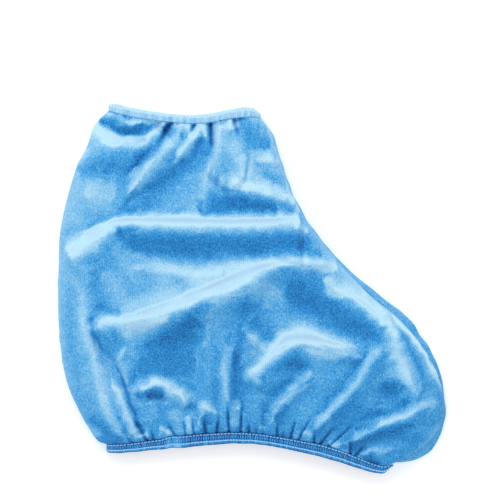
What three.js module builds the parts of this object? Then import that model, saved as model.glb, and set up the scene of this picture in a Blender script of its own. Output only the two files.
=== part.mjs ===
// Skate boot cover in stretch velour, lying on its side as it does when put down.
//
// The cover is a soft L-shaped bag that is open at the leg and at the sole. Two side panels meet in a
// seam down the back and a seam down the front, and a gathered elastic band rims each opening.
//
// Frame: millimetres. +X runs from the heel to the toe, +Y from the sole to the leg opening and +Z up
// from the surface that the cover lies on. The origin is under the middle of the cover's box.

import * as THREE from "three";

// ---- Driving dimensions ----

const WALL = 1.8; // velour with its pile, mm
const BAND_WALL = 3.2; // velour folded round the elastic
const GAP = 0.35; // kept between neighbouring pieces
const SEAM_HEIGHT = 9; // of the back and front seams above the surface
const MOUTH_SEAM_HEIGHT = 7; // the same at the two bands

const BACK_ROUNDING = 26; // width over which the near panel rolls down to the back seam
const FRONT_ROUNDING = 18; // the same at the front seam
const MOUTH_ROUNDING = 11; // the same at the two bands
const FLOOR_ROUNDING = 9; // width over which the far panel leaves the surface at the back
const LIP_RADIUS = 3.4; // of the far panel's rolled front edge
const MOUTH_LIP_RADIUS = 5; // the same at the two bands
const MOUTH_REACH = 2.2; // rows of the section table over which a mouth opens into the bag

// The bands' depths along Y, and how much longer the depth is at their back and front folds.
const ANKLE_BAND = { depth: 5.4, back: 1.4, front: -2.2 };
const SOLE_BAND = { depth: -7.4, back: 2.2, front: 3.4 };
const END_WIDTH = 5; // how far from a band's fold its depth changes

const ROWS_PER_SECTION = 2;
const ARC_STEPS = 5; // columns round a rolled edge
const NEAR_STEPS = 27; // columns across the near panel between its rolled edges
const FAR_STEPS = 9; // columns across the flat of the far panel
const BAND_STEPS = 2; // faces across a band's depth

// Cross-sections of the bag, from the sole opening up to the leg opening. back and front are the ends
// of the near panel, far is the far panel's outermost point beyond the front seam, and crown is the
// height of the near panel's middle.
const SECTIONS = [
  { back: [-108.5, -120.5], front: [107.0, -133.0], far: [107.2, -133.0], crown: 14.5 },
  { back: [-118.0, -116.2], front: [118.0, -128.6], far: [121.4, -132.2], crown: 18.5 },
  { back: [-126.2, -105.5], front: [131.0, -120.4], far: [134.8, -126.0], crown: 22 },
  { back: [-133.2, -91.5], front: [140.2, -110.4], far: [144.6, -113.8], crown: 24 },
  { back: [-139.0, -78.0], front: [145.6, -97.0], far: [148.6, -98.0], crown: 25.5 },
  { back: [-143.4, -62.5], front: [146.6, -80.0], far: [147.6, -80.5], crown: 26.5 },
  { back: [-146.6, -44.0], front: [139.4, -61.3], far: [141.8, -59.8], crown: 27 },
  { back: [-148.3, -22.0], front: [128.7, -43.7], far: [132.0, -40.6], crown: 27.5 },
  { back: [-148.6, 0.0], front: [112.5, -24.0], far: [117.0, -20.6], crown: 28 },
  { back: [-148.0, 19.0], front: [91.5, -7.0], far: [95.0, -3.6], crown: 28 },
  { back: [-147.6, 37.5], front: [70.5, 14.5], far: [72.2, 15.8], crown: 27.5 },
  { back: [-144.8, 55.5], front: [53.6, 35.2], far: [54.1, 35.6], crown: 27 },
  { back: [-139.8, 75.5], front: [39.2, 55.5], far: [39.6, 55.7], crown: 26 },
  { back: [-134.0, 93.0], front: [29.0, 76.5], far: [29.4, 76.6], crown: 24.5 },
  { back: [-126.0, 108.5], front: [21.8, 98.5], far: [22.2, 98.6], crown: 22 },
  { back: [-120.2, 124.0], front: [15.4, 118.0], far: [15.6, 118.1], crown: 17.5 },
  { back: [-109.5, 135.0], front: [6.6, 130.2], far: [6.7, 130.2], crown: 13.5 },
];
const LAST = SECTIONS.length - 1;

// How far the two openings bow away from a straight line, at shares of the way from back to front.
const SOLE_BOW = [
  { share: 0, rise: 0 },
  { share: 0.14, rise: 4.7 },
  { share: 0.32, rise: 11.5 },
  { share: 0.46, rise: 14.7 },
  { share: 0.6, rise: 13 },
  { share: 0.78, rise: 6.8 },
  { share: 0.92, rise: -0.8 },
  { share: 0.97, rise: -1.5 },
  { share: 1, rise: 0 },
];
const ANKLE_BOW = [
  { share: 0, rise: 0 },
  { share: 0.13, rise: -3.2 },
  { share: 0.27, rise: -4.4 },
  { share: 0.41, rise: -5.1 },
  { share: 0.54, rise: -5.2 },
  { share: 0.67, rise: -3.5 },
  { share: 0.77, rise: -0.9 },
  { share: 0.9, rise: 1.4 },
  { share: 1, rise: 0 },
];
const BOW_REACH = 6; // rows of the section table over which a bow straightens

// The near panel's main folds. Each runs from one end through a middle point to the other end. Its
// height is above the panel's crown, or below it for a dent, and its width is its half width.
const FOLDS = [
  { from: [-143, 28], mid: [-118, 50], to: [36, 52], width: 9, height: 4.5 },
  { from: [-86, 34], mid: [-15, 30], to: [58, 32], width: 9, height: -4 },
  { from: [-122, -30], mid: [-62, -4], to: [58, 21], width: 8, height: 4.5 },
  { from: [-14, -8], mid: [38, -20], to: [100, -30], width: 12, height: -3.5 },
  { from: [-2, -64], mid: [26, -20], to: [80, -46], width: 8, height: 4 },
  { from: [-128, -32], mid: [-118, -86], to: [-95, -112], width: 7, height: 3.5 },
  { from: [-102, -55], mid: [-100, -78], to: [-86, -106], width: 7, height: -3 },
  { from: [-89, -76], mid: [-72, -60], to: [-47, -84], width: 7, height: 3.5 },
  { from: [-74, -80], mid: [-64, -88], to: [-52, -98], width: 7, height: -3 },
  { from: [-19, -46], mid: [-19, -76], to: [-20, -106], width: 6, height: 3 },
  { from: [-10, -44], mid: [-11, -76], to: [-10, -104], width: 6, height: -3 },
  { from: [12, -97], mid: [22, -80], to: [38, -68], width: 6, height: 3 },
  { from: [44, -106], mid: [76, -78], to: [100, -36], width: 7, height: 4 },
  { from: [74, -114], mid: [108, -100], to: [132, -86], width: 6.5, height: 3.5 },
  { from: [112, -30], mid: [110, -50], to: [126, -82], width: 6, height: 3 },
  { from: [-56, 122], mid: [-76, 104], to: [-94, 74], width: 7, height: 4 },
  { from: [-66, 124], mid: [-80, 108], to: [-88, 96], width: 6, height: -3 },
  { from: [-116, 126], mid: [-98, 116], to: [-72, 126], width: 6, height: -3 },
  { from: [-120, 118], mid: [-97, 106], to: [-74, 118], width: 6, height: 3 },
  { from: [-31, 124], mid: [-30, 114], to: [-31, 104], width: 6, height: -3 },
  { from: [-20, 120], mid: [-16, 102], to: [-16, 86], width: 11, height: 3 },
  { from: [-30, 64], mid: [2, 66], to: [33, 66], width: 7, height: -3.5 },
];
const FOLD_SAMPLES = 14; // points along a fold that distances are taken to

const GATHERS = { count: 11, height: 1.1, reach: 3 }; // soft pleats that rise from the sole band

// ---- Curves ----

const clamp = (value, low, high) => Math.min(Math.max(value, low), high);
const mix = (a, b, share) => a + (b - a) * share;
const fade = (share) => (1 - clamp(share, 0, 1)) ** 2;
const ease = (share) => (1 + Math.cos(Math.PI * clamp(share, 0, 1))) / 2;

/** Height of a quarter round: 0 at its foot, where it stands upright, and 1 past its end. */
const quarter = (share) => Math.sqrt(1 - (1 - clamp(share, 0, 1)) ** 2);

/** A smooth curve through four evenly spaced values, between the second and the third. */
function smooth(a, b, c, d, t) {
  const bend = 2 * a - 5 * b + 4 * c - d + (3 * b - a - 3 * c + d) * t;
  return 0.5 * (2 * b + t * (c - a + t * bend));
}

/** The cross-section at a place in the section table, which may lie between two rows. */
function sectionAt(row) {
  const i = clamp(Math.floor(row), 0, LAST - 1);
  const rows = [i - 1, i, i + 1, i + 2].map((k) => SECTIONS[clamp(k, 0, LAST)]);
  const along = (pick) => smooth(...rows.map(pick), row - i);
  const point = (key) => [along((s) => s[key][0]), along((s) => s[key][1])];
  return { back: point("back"), front: point("front"), far: point("far"), crown: along((s) => s.crown) };
}

/** A bow's rise at a share of the way across. */
function bowAt(table, share) {
  const last = table.length - 1;
  let i = 0;
  while (i < last - 1 && table[i + 1].share < share) i += 1;
  const t = clamp((share - table[i].share) / (table[i + 1].share - table[i].share), 0, 1);
  const rises = [i - 1, i, i + 1, i + 2].map((k) => table[clamp(k, 0, last)].rise);
  return smooth(...rises, t);
}

/** How much a row takes part in an opening: 1 at its band and 0 past the opening's reach. */
const mouthShare = (row) => Math.max(fade(row / MOUTH_REACH), fade((LAST - row) / MOUTH_REACH));

const seamHeight = (row) => mix(SEAM_HEIGHT, MOUTH_SEAM_HEIGHT, mouthShare(row));

/** The point at a share of the way across a row, from its back to its front end. */
function across({ back, front }, row, share) {
  const soleRise = bowAt(SOLE_BOW, share) * ease(row / BOW_REACH);
  const ankleRise = bowAt(ANKLE_BOW, share) * ease((LAST - row) / BOW_REACH);
  return [mix(back[0], front[0], share), mix(back[1], front[1], share) + soleRise + ankleRise];
}

/** A fold's middle line as points, which pass through its middle point. */
function foldLine({ from, mid, to }) {
  const points = [];
  for (let k = 0; k <= FOLD_SAMPLES; k += 1) {
    const t = k / FOLD_SAMPLES;
    const weights = [(1 - t) * (1 - 2 * t), 4 * t * (1 - t), t * (2 * t - 1)];
    points.push([0, 1].map((axis) => weights[0] * from[axis] + weights[1] * mid[axis] + weights[2] * to[axis]));
  }
  return points;
}

const FOLD_LINES = FOLDS.map((fold) => ({ ...fold, line: foldLine(fold) }));

/** Height that one fold adds at a point: a rounded ridge that fades out at both ends. */
function foldHeight({ line, width, height }, [x, y]) {
  let nearest = Infinity;
  let place = 0;
  for (let k = 0; k < FOLD_SAMPLES; k += 1) {
    const [ax, ay] = line[k];
    const [dx, dy] = [line[k + 1][0] - ax, line[k + 1][1] - ay];
    const t = clamp(((x - ax) * dx + (y - ay) * dy) / (dx * dx + dy * dy), 0, 1);
    const distance = Math.hypot(x - ax - dx * t, y - ay - dy * t);
    if (distance < nearest) {
      nearest = distance;
      place = (k + t) / FOLD_SAMPLES;
    }
  }
  const taper = Math.sin(Math.PI * clamp(place, 0.04, 0.96)) ** 0.6;
  return height * taper * Math.exp(-((nearest / width) ** 2));
}

// ---- Surfaces ----

/** Shares across the near panel: close together round its rolled edges, even between them. */
function nearShares(width, backRounding, frontRounding) {
  const shares = [];
  const turn = (k) => 1 - Math.cos((Math.PI / 2) * (k / ARC_STEPS));
  for (let k = 0; k < ARC_STEPS; k += 1) shares.push((backRounding / width) * turn(k));
  const [low, high] = [backRounding / width, 1 - frontRounding / width];
  for (let k = 0; k <= NEAR_STEPS; k += 1) shares.push(mix(low, high, k / NEAR_STEPS));
  for (let k = ARC_STEPS - 1; k >= 0; k -= 1) shares.push(1 - (frontRounding / width) * turn(k));
  return shares;
}

/** Points of one row of the near panel's outer face, from the back seam to the front seam. */
function nearRow(row) {
  const section = sectionAt(row);
  const width = Math.hypot(section.front[0] - section.back[0], section.front[1] - section.back[1]);
  const [back, front] = [BACK_ROUNDING, FRONT_ROUNDING].map((r) => mix(r, MOUTH_ROUNDING, mouthShare(row)));
  const foot = seamHeight(row);
  return nearShares(width, back, front).map((share) => {
    const place = across(section, row, share);
    const roll = quarter((share * width) / back) * quarter(((1 - share) * width) / front);
    const folds = FOLD_LINES.reduce((sum, fold) => sum + foldHeight(fold, place), 0);
    const pleat = GATHERS.height * Math.sin(2 * Math.PI * GATHERS.count * share) * ease(row / GATHERS.reach);
    const lift = section.crown - foot + (folds + pleat) * (1 - mouthShare(row));
    return new THREE.Vector3(...place, foot + lift * roll);
  });
}

/** The far panel's front edge: down from the seam, round its outermost point and onto the surface. */
function lip({ front, far }, foot, radius) {
  const [dx, dy] = [far[0] - front[0], far[1] - front[1]];
  const peek = Math.hypot(dx, dy);
  const place = (out, height) => {
    const share = out / peek;
    return new THREE.Vector3(front[0] + dx * share, front[1] + dy * share, height);
  };
  // The straight part leaves the seam as a tangent of the roll.
  const [cx, cz] = [peek - radius, radius];
  const reach = Math.hypot(-cx, foot - cz);
  const start = Math.atan2(foot - cz, -cx) - Math.acos(clamp(radius / reach, -1, 1));
  const points = [place(0, foot)];
  for (let k = 0; k <= ARC_STEPS; k += 1) {
    const angle = mix(start, -Math.PI / 2, k / ARC_STEPS);
    points.push(place(cx + radius * Math.cos(angle), cz + radius * Math.sin(angle)));
  }
  return points;
}

/** Points of one row of the far panel's outer face, from the front seam to the back seam. */
function farRow(row) {
  const section = sectionAt(row);
  const foot = seamHeight(row);
  const width = Math.hypot(section.front[0] - section.back[0], section.front[1] - section.back[1]);
  const edge = FLOOR_ROUNDING / width;
  const points = lip(section, foot, mix(LIP_RADIUS, MOUTH_LIP_RADIUS, mouthShare(row)));
  for (let k = 0; k <= FAR_STEPS; k += 1) {
    const share = mix(1 - edge, edge, k / FAR_STEPS);
    points.push(new THREE.Vector3(...across(section, row, share), 0));
  }
  for (let k = ARC_STEPS - 1; k >= 0; k -= 1) {
    const angle = (Math.PI / 2) * (k / ARC_STEPS);
    const place = across(section, row, edge * (1 - Math.cos(angle)));
    points.push(new THREE.Vector3(...place, foot * (1 - Math.sin(angle))));
  }
  return points;
}

/** Points of a band's outer face: the ring of one row, carried along +Y over the band's depth. */
function bandRows(row, { depth, back, front }) {
  const ring = [...nearRow(row), ...farRow(row).slice(1, -1)];
  const ends = sectionAt(row);
  const bump = (point, end) => Math.exp(-(((point.x - end[0]) / END_WIDTH) ** 2));
  return Array.from({ length: BAND_STEPS + 1 }, (_, k) =>
    ring.map((point) => {
      const reach = depth + back * bump(point, ends.back) + front * bump(point, ends.front);
      const offset = Math.sign(depth) * GAP + (reach * k) / BAND_STEPS;
      return new THREE.Vector3(point.x, point.y + offset, point.z);
    }),
  );
}

/** Outward direction of a sheet at a point, from its neighbours along and across the rows. */
function outward(rows, i, j, loop) {
  const [last, end] = [rows.length - 1, rows[0].length - 1];
  const along = rows[Math.min(i + 1, last)][j].clone().sub(rows[Math.max(i - 1, 0)][j]);
  if (!loop && (j === 0 || j === end)) {
    // A seam's face is upright, so the wall goes straight in from it.
    const side = rows[i][end].x > rows[i][0].x === (j === end) ? 1 : -1;
    return new THREE.Vector3(along.y * side, -along.x * side, 0).normalize();
  }
  const before = rows[i][loop ? (j + end) % (end + 1) : j - 1];
  const after = rows[i][loop ? (j + 1) % (end + 1) : j + 1];
  const normal = after.clone().sub(before).cross(along);
  if (loop) normal.setY(0);
  return normal.normalize();
}

/** A closed wall under a sheet of outer points. A loop's last column joins its first. */
function wallUnder(rows, wall, loop = false) {
  const [height, width] = [rows.length, rows[0].length];
  const positions = [];
  rows.forEach((line) => line.forEach((point) => positions.push(...point)));
  rows.forEach((line, i) =>
    line.forEach((point, j) => positions.push(...point.clone().addScaledVector(outward(rows, i, j, loop), -wall))),
  );
  const inner = height * width;
  const faces = [];
  const quad = (a, b, c, d) => faces.push(a, b, c, a, c, d);
  const columns = loop ? width : width - 1;
  for (let i = 0; i < height - 1; i += 1) {
    for (let j = 0; j < columns; j += 1) {
      const [a, b] = [i * width + j, i * width + ((j + 1) % width)];
      quad(a, b, b + width, a + width);
      quad(inner + a, inner + a + width, inner + b + width, inner + b);
    }
  }
  for (let j = 0; j < columns; j += 1) {
    const [a, b] = [j, (j + 1) % width];
    const top = (height - 1) * width;
    quad(inner + a, inner + b, b, a);
    quad(top + a, top + b, inner + top + b, inner + top + a);
  }
  for (let i = 0; i < height - 1 && !loop; i += 1) {
    const [a, b] = [i * width, (i + 1) * width];
    quad(a, b, inner + b, inner + a);
    quad(a + width - 1, inner + a + width - 1, inner + b + width - 1, b + width - 1);
  }
  const geometry = new THREE.BufferGeometry();
  geometry.setAttribute("position", new THREE.Float32BufferAttribute(positions, 3));
  geometry.setIndex(faces);
  geometry.computeVertexNormals();
  return geometry;
}

// ---- Pieces ----

const ALL_ROWS = Array.from({ length: LAST * ROWS_PER_SECTION + 1 }, (_, k) => k / ROWS_PER_SECTION);

/** A panel's rows, kept half a gap above or below the seams at both of its ends. */
function panelRows(rowOf, side) {
  return ALL_ROWS.map((row) => {
    const points = rowOf(row);
    [points[0], points.at(-1)].forEach((point) => {
      point.z += (side * GAP) / 2;
    });
    return points;
  });
}

function piece(name, geometry, colour, roughness) {
  const material = new THREE.MeshStandardMaterial({ color: colour, roughness, metalness: 0 });
  const mesh = new THREE.Mesh(geometry, material);
  mesh.name = name;
  return mesh;
}

const cover = new THREE.Group();
cover.add(
  piece("near_panel", wallUnder(panelRows(nearRow, 1), WALL), 0x3f97dd, 0.85),
  piece("far_panel", wallUnder(panelRows(farRow, -1), WALL), 0x2f80c8, 0.85),
  piece("ankle_band", wallUnder(bandRows(LAST, ANKLE_BAND), BAND_WALL, true), 0x6fb4ea, 0.8),
  piece("sole_band", wallUnder(bandRows(0, SOLE_BAND).reverse(), BAND_WALL, true), 0x3788cf, 0.8),
);

export default cover;
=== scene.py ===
"""Skate boot cover in azure stretch velour, lying on its side on a pale floor.

The cover is a soft bag, open at the leg and at the sole. Two side panels meet in a seam down the
back and a seam down the front, and a gathered elastic band rims each opening. Lengths in the tables
are in millimetres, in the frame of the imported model, and meshes are in metres. In that frame X runs
along the foot to the toe, and Y up the leg.
"""

import logging
import math
from dataclasses import dataclass, field
from enum import Enum

import bpy
import numpy as np
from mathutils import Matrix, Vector


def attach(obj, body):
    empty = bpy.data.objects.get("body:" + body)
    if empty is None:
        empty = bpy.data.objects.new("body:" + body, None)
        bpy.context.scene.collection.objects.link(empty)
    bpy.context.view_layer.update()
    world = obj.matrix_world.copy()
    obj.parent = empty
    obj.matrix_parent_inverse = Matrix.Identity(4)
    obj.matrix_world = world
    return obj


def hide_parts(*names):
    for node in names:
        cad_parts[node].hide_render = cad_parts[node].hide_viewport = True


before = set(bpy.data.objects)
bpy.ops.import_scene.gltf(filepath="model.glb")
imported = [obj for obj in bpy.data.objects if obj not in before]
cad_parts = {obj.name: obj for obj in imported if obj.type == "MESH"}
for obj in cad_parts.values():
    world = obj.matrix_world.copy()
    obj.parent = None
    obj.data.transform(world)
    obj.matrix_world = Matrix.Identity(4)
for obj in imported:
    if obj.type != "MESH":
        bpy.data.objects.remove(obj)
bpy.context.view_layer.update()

LOG = logging.getLogger("skate_boot_cover")
MM = 0.001
SEED = 11

Point = tuple[float, float]
Number = np.ndarray | float
Ends = dict[str, np.ndarray]  # a value of each row for every field of Section


# ---------------------------------------------------------------------------
# The bag's form: its cross-sections and its folds
# ---------------------------------------------------------------------------


@dataclass(frozen=True)
class Section:
    """One cross-section of the bag, from its back seam to its front seam."""

    back: Point  # the back seam
    front: Point  # the front seam
    far: Point  # the far panel's outermost point beyond the front seam
    crown: float  # height of the near panel's middle
    roll: float  # width over which the near panel rolls down to the front seam


SECTIONS = (
    Section((-110.8, -119.2), (107.0, -133.0), (107.2, -133.0), 14.5, 12),
    Section((-118.0, -116.2), (118.0, -128.6), (121.4, -132.2), 18.5, 15),
    Section((-125.2, -105.5), (131.0, -120.4), (134.8, -126.0), 22, 18),
    Section((-132.8, -91.5), (140.2, -110.4), (144.0, -113.5), 24, 20),
    Section((-139.0, -78.0), (146.4, -97.2), (148.1, -97.9), 25.5, 20),
    Section((-143.4, -62.5), (146.0, -80.0), (146.9, -80.5), 26.5, 20),
    Section((-146.0, -44.0), (139.7, -61.1), (142.0, -59.7), 27, 20),
    Section((-147.6, -22.0), (129.1, -43.4), (132.2, -40.5), 27.5, 20),
    Section((-147.9, 0.0), (112.5, -24.0), (117.0, -20.6), 28, 20),
    Section((-147.3, 19.0), (91.5, -7.0), (95.0, -3.6), 28, 17),
    Section((-146.8, 37.5), (70.5, 14.5), (72.2, 15.8), 27.5, 13),
    Section((-144.0, 55.5), (53.6, 35.2), (54.1, 35.6), 27, 10),
    Section((-139.0, 75.5), (39.2, 55.5), (39.6, 55.7), 26, 9),
    Section((-133.4, 93.0), (29.0, 76.5), (29.4, 76.6), 24.5, 9),
    Section((-125.6, 108.5), (21.8, 98.5), (22.2, 98.6), 22, 9),
    Section((-120.2, 124.0), (15.4, 118.0), (15.6, 118.1), 17.5, 10),
    Section((-109.5, 135.0), (6.6, 130.2), (6.7, 130.2), 13.5, 11),
)
LAST = len(SECTIONS) - 1

# Shares of the way from back to front, and how far each opening bows off a straight line there.
SOLE_BOW = (
    (0, 0), (0.08, 2.2), (0.15, 5.2), (0.19, 7), (0.223, 9.7), (0.258, 10.6), (0.328, 13),
    (0.435, 15.6), (0.535, 15.9), (0.645, 13.5), (0.753, 10.6), (0.822, 6.9), (0.89, 1.8),
    (0.955, -2.4), (0.98, -2.4), (1, 0),
)  # fmt: skip
ANKLE_BOW = (
    (0, 0), (0.13, -3.2), (0.27, -5.2), (0.41, -6.5), (0.54, -6.9), (0.67, -5.4), (0.77, -2.8),
    (0.9, -0.2), (1, 0),
)  # fmt: skip

# How deep each band is at shares of the way from back to front.
SOLE_BAND_DEPTH = (
    (0, 6.4), (0.1, 7.1), (0.18, 7.6), (0.215, 9.1), (0.35, 9.2), (0.5, 8.4), (0.62, 8.4),
    (0.76, 9.7), (0.85, 9), (0.92, 7.4), (0.96, 6), (1, 3.4),
)  # fmt: skip
LEG_BAND_DEPTH = (
    (0, 5.4), (0.08, 6.9), (0.2, 6.5), (0.5, 6.1), (0.7, 6.5), (0.85, 7.1), (0.95, 6.8), (1, 3.4),
)  # fmt: skip


@dataclass(frozen=True)
class Fold:
    """A ridge in the cloth, or a groove where its height is negative.

    It runs along a path with the lit side on its left.
    """

    path: tuple[float, ...]  # x and y of each point in turn
    height: float
    lit: float  # how far it reaches on the lit side
    shaded: float  # how far it reaches on the shaded side
    widens: float = 0.25  # share of the path over which it widens from its start
    narrows: float = 0.25  # share of the path over which it narrows to its end
    edge: float = 2.0  # 2 for a rounded profile, and more for a flatter top with steeper sides

    def line(self, steps: int = 8) -> np.ndarray:
        """Points of its path, with a number of steps from each given point to the next.

        Args:
            steps: Number of steps.

        Returns:
            The points, one row each.
        """
        given = np.array(self.path, float).reshape(-1, 2)
        last = len(given) - 1
        return through(given, np.linspace(0, last, steps * last + 1))


def folds(*rows: tuple) -> tuple[Fold, ...]:
    """A fold from each row, which holds the fields of Fold in their order."""
    return tuple(Fold(*row) for row in rows)


FOLDS = folds(
    # The two long steps that cross the panel from the heel to the instep.
    ((-142, 23, -134, 27.5, -122, 35, -110.5, 41, -99.5, 45.8, -88, 47.6, -48, 46.5, 8, 46,
      38, 47), 6.5, 7, 22, 0.1, 0.02),
    ((-122, -32, -105, -27, -79, -22, -48, -14, -24, -5, 0, 5, 18, 16, 36, 19.5,
      60, 18), 5.5, 8, 15, 0.1, 0.2),
    ((-100, -26, -60, -17, -28, -7, -2, 3, 18, 13), 6, 18, 15, 0.3, 0.3),
    ((-92, 16, -59, 10, -33, 10, -20, 14), 3, 5.5, 9, 0.3, 0.3),
    # The bent ridge over the instep and its two spurs.
    ((3, -76, 12, -66, 22, -54, 30, -45, 40, -41, 52, -43, 67, -48,
      84, -56), 5.5, 8, 13, 0.15, 0.25),
    ((-8, -70, 0, -69, 8, -64), 2.5, 4, 6, 0.3, 0.3),
    ((3, -46, -1, -37, -7, -28), 2.2, 4, 5, 0.3, 0.3),
    # Folds that spread from the sole band towards the toe.
    ((17, -98, 24, -86.5, 34.5, -76.5, 46, -65), 3, 4.5, 7),
    ((48, -109.5, 59.5, -96, 72, -83.5, 82, -70.5, 90, -59, 100, -45), 5, 6, 9, 0.2, 0.25),
    ((76.5, -117, 92.5, -108, 108, -101, 122.5, -95, 132, -88), 4.5, 5, 10, 0.15, 0.3),
    ((125.5, -86, 128.5, -72, 124, -60, 120, -50.5, 114.5, -38, 114, -26), 3.6, 5.5, 5, 0.25, 0.15),
    ((84, -128, 96, -124.5, 108, -123), 2.5, 4, 5, 0.3, 0.4),
    ((95, -90, 106, -81, 118, -76), -2.5, 8, 7, 0.4, 0.4),
    # Long folds behind the heel.
    ((-94, -111, -106.5, -93.5, -115, -78, -120, -63, -124, -47.5, -127, -32,
      -128.5, -14), 4, 7, 7, 0.05, 0.3),
    ((-85, -110, -91, -93.5, -97, -82, -104, -70), 3.5, 5, 3.5, 0.05, 0.5),
    ((-83, -112, -88, -100, -92.5, -88, -96.5, -75, -102, -63, -109.5, -53, -117, -43,
      -121, -31), -3.2, 3.5, 4, 0.02, 0.3),
    ((-94, -75, -96, -64, -100, -56, -93.5, -43), 2, 3, 4, 0.3, 0.4),
    ((-122, -26, -124, -4, -121, 18), 2.5, 10, 9, 0.4, 0.4),
    # Arches above the sole gathers.
    ((-90, -80, -80.5, -75.5, -70.5, -73.5, -61, -76.5, -53, -83.5, -47, -91), 4.5, 5, 7, 0.2, 0.3),
    ((-80, -85, -72, -83.5, -64, -87), -2.5, 5, 6, 0.4, 0.4),
    ((-42.5, -101, -39, -93, -35, -90, -30.5, -96), 3, 3.5, 4.5, 0.2, 0.3),
    ((-15.5, -99, -17, -78, -16, -58, -14, -42), 3.5, 4.5, 4, 0.1, 0.4),
    ((-12, -92, -12.5, -70, -11.5, -50), -2, 3, 5, 0.2, 0.4),
    # The pocket and the crescent at the back of the ankle band.
    ((-119, 127, -108, 119.5, -98, 115.7, -89, 115.7, -79, 119.5,
      -69, 126), -4.6, 5.5, 6.5, 0.15, 0.1),
    ((-101, 125, -92, 124, -83, 126), 2, 3, 4, 0.3, 0.3),
    ((-127, 103, -109, 104, -93.5, 105.5, -79.5, 111, -69, 120), 4, 8, 14, 0.2, 0.15),
    # Diagonal folds that hang from the ankle band.
    ((-93, 70, -84, 82, -76, 93.5, -68, 102.5, -60, 112, -54, 121), 5, 6, 9, 0.3, 0.05),
    ((-96, 84, -84, 97, -75.5, 108, -67, 122), -3, 5, 5, 0.5, 0.05),
    ((-98, 60, -82, 73, -66, 81, -52, 90, -42, 101, -38, 114), -2.6, 7, 7, 0.3, 0.2),
    ((-57, 97, -50.5, 105.5, -44.5, 113.5, -42, 122), 2.8, 4, 5, 0.3, 0.1),
    ((-29.5, 106, -30.6, 117, -31.4, 127), -4.8, 2.6, 3.2, 0.5, 0.02),
    ((-36, 86, -27, 93, -24.5, 105, -24.5, 124), 3, 4, 11, 0.3, 0.1),
    ((-30, 83, -17, 86, -4, 84), 4, 22, 7, 0.3, 0.3),
    ((-26, 80, -8, 77.5, 9, 73.5, 34, 67), 4.2, 5.5, 12, 0.25, 0.05),
    ((-11, 117, -12.5, 125, -13, 131), -4, 2.6, 6, 0.5, 0.02),
    ((0, 99.5, 8, 98, 18, 99), 2, 3.5, 6, 0.3, 0.1),
    ((-44.5, 118, -45.5, 127), -3.4, 2.2, 2.6, 0.6, 0.02),
    ((-67, 117, -62, 127), -3.4, 4, 4.5, 0.6, 0.02),
    ((-21, 123, -20.5, 131), -3, 1.8, 2, 0.6, 0.02),
)

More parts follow.
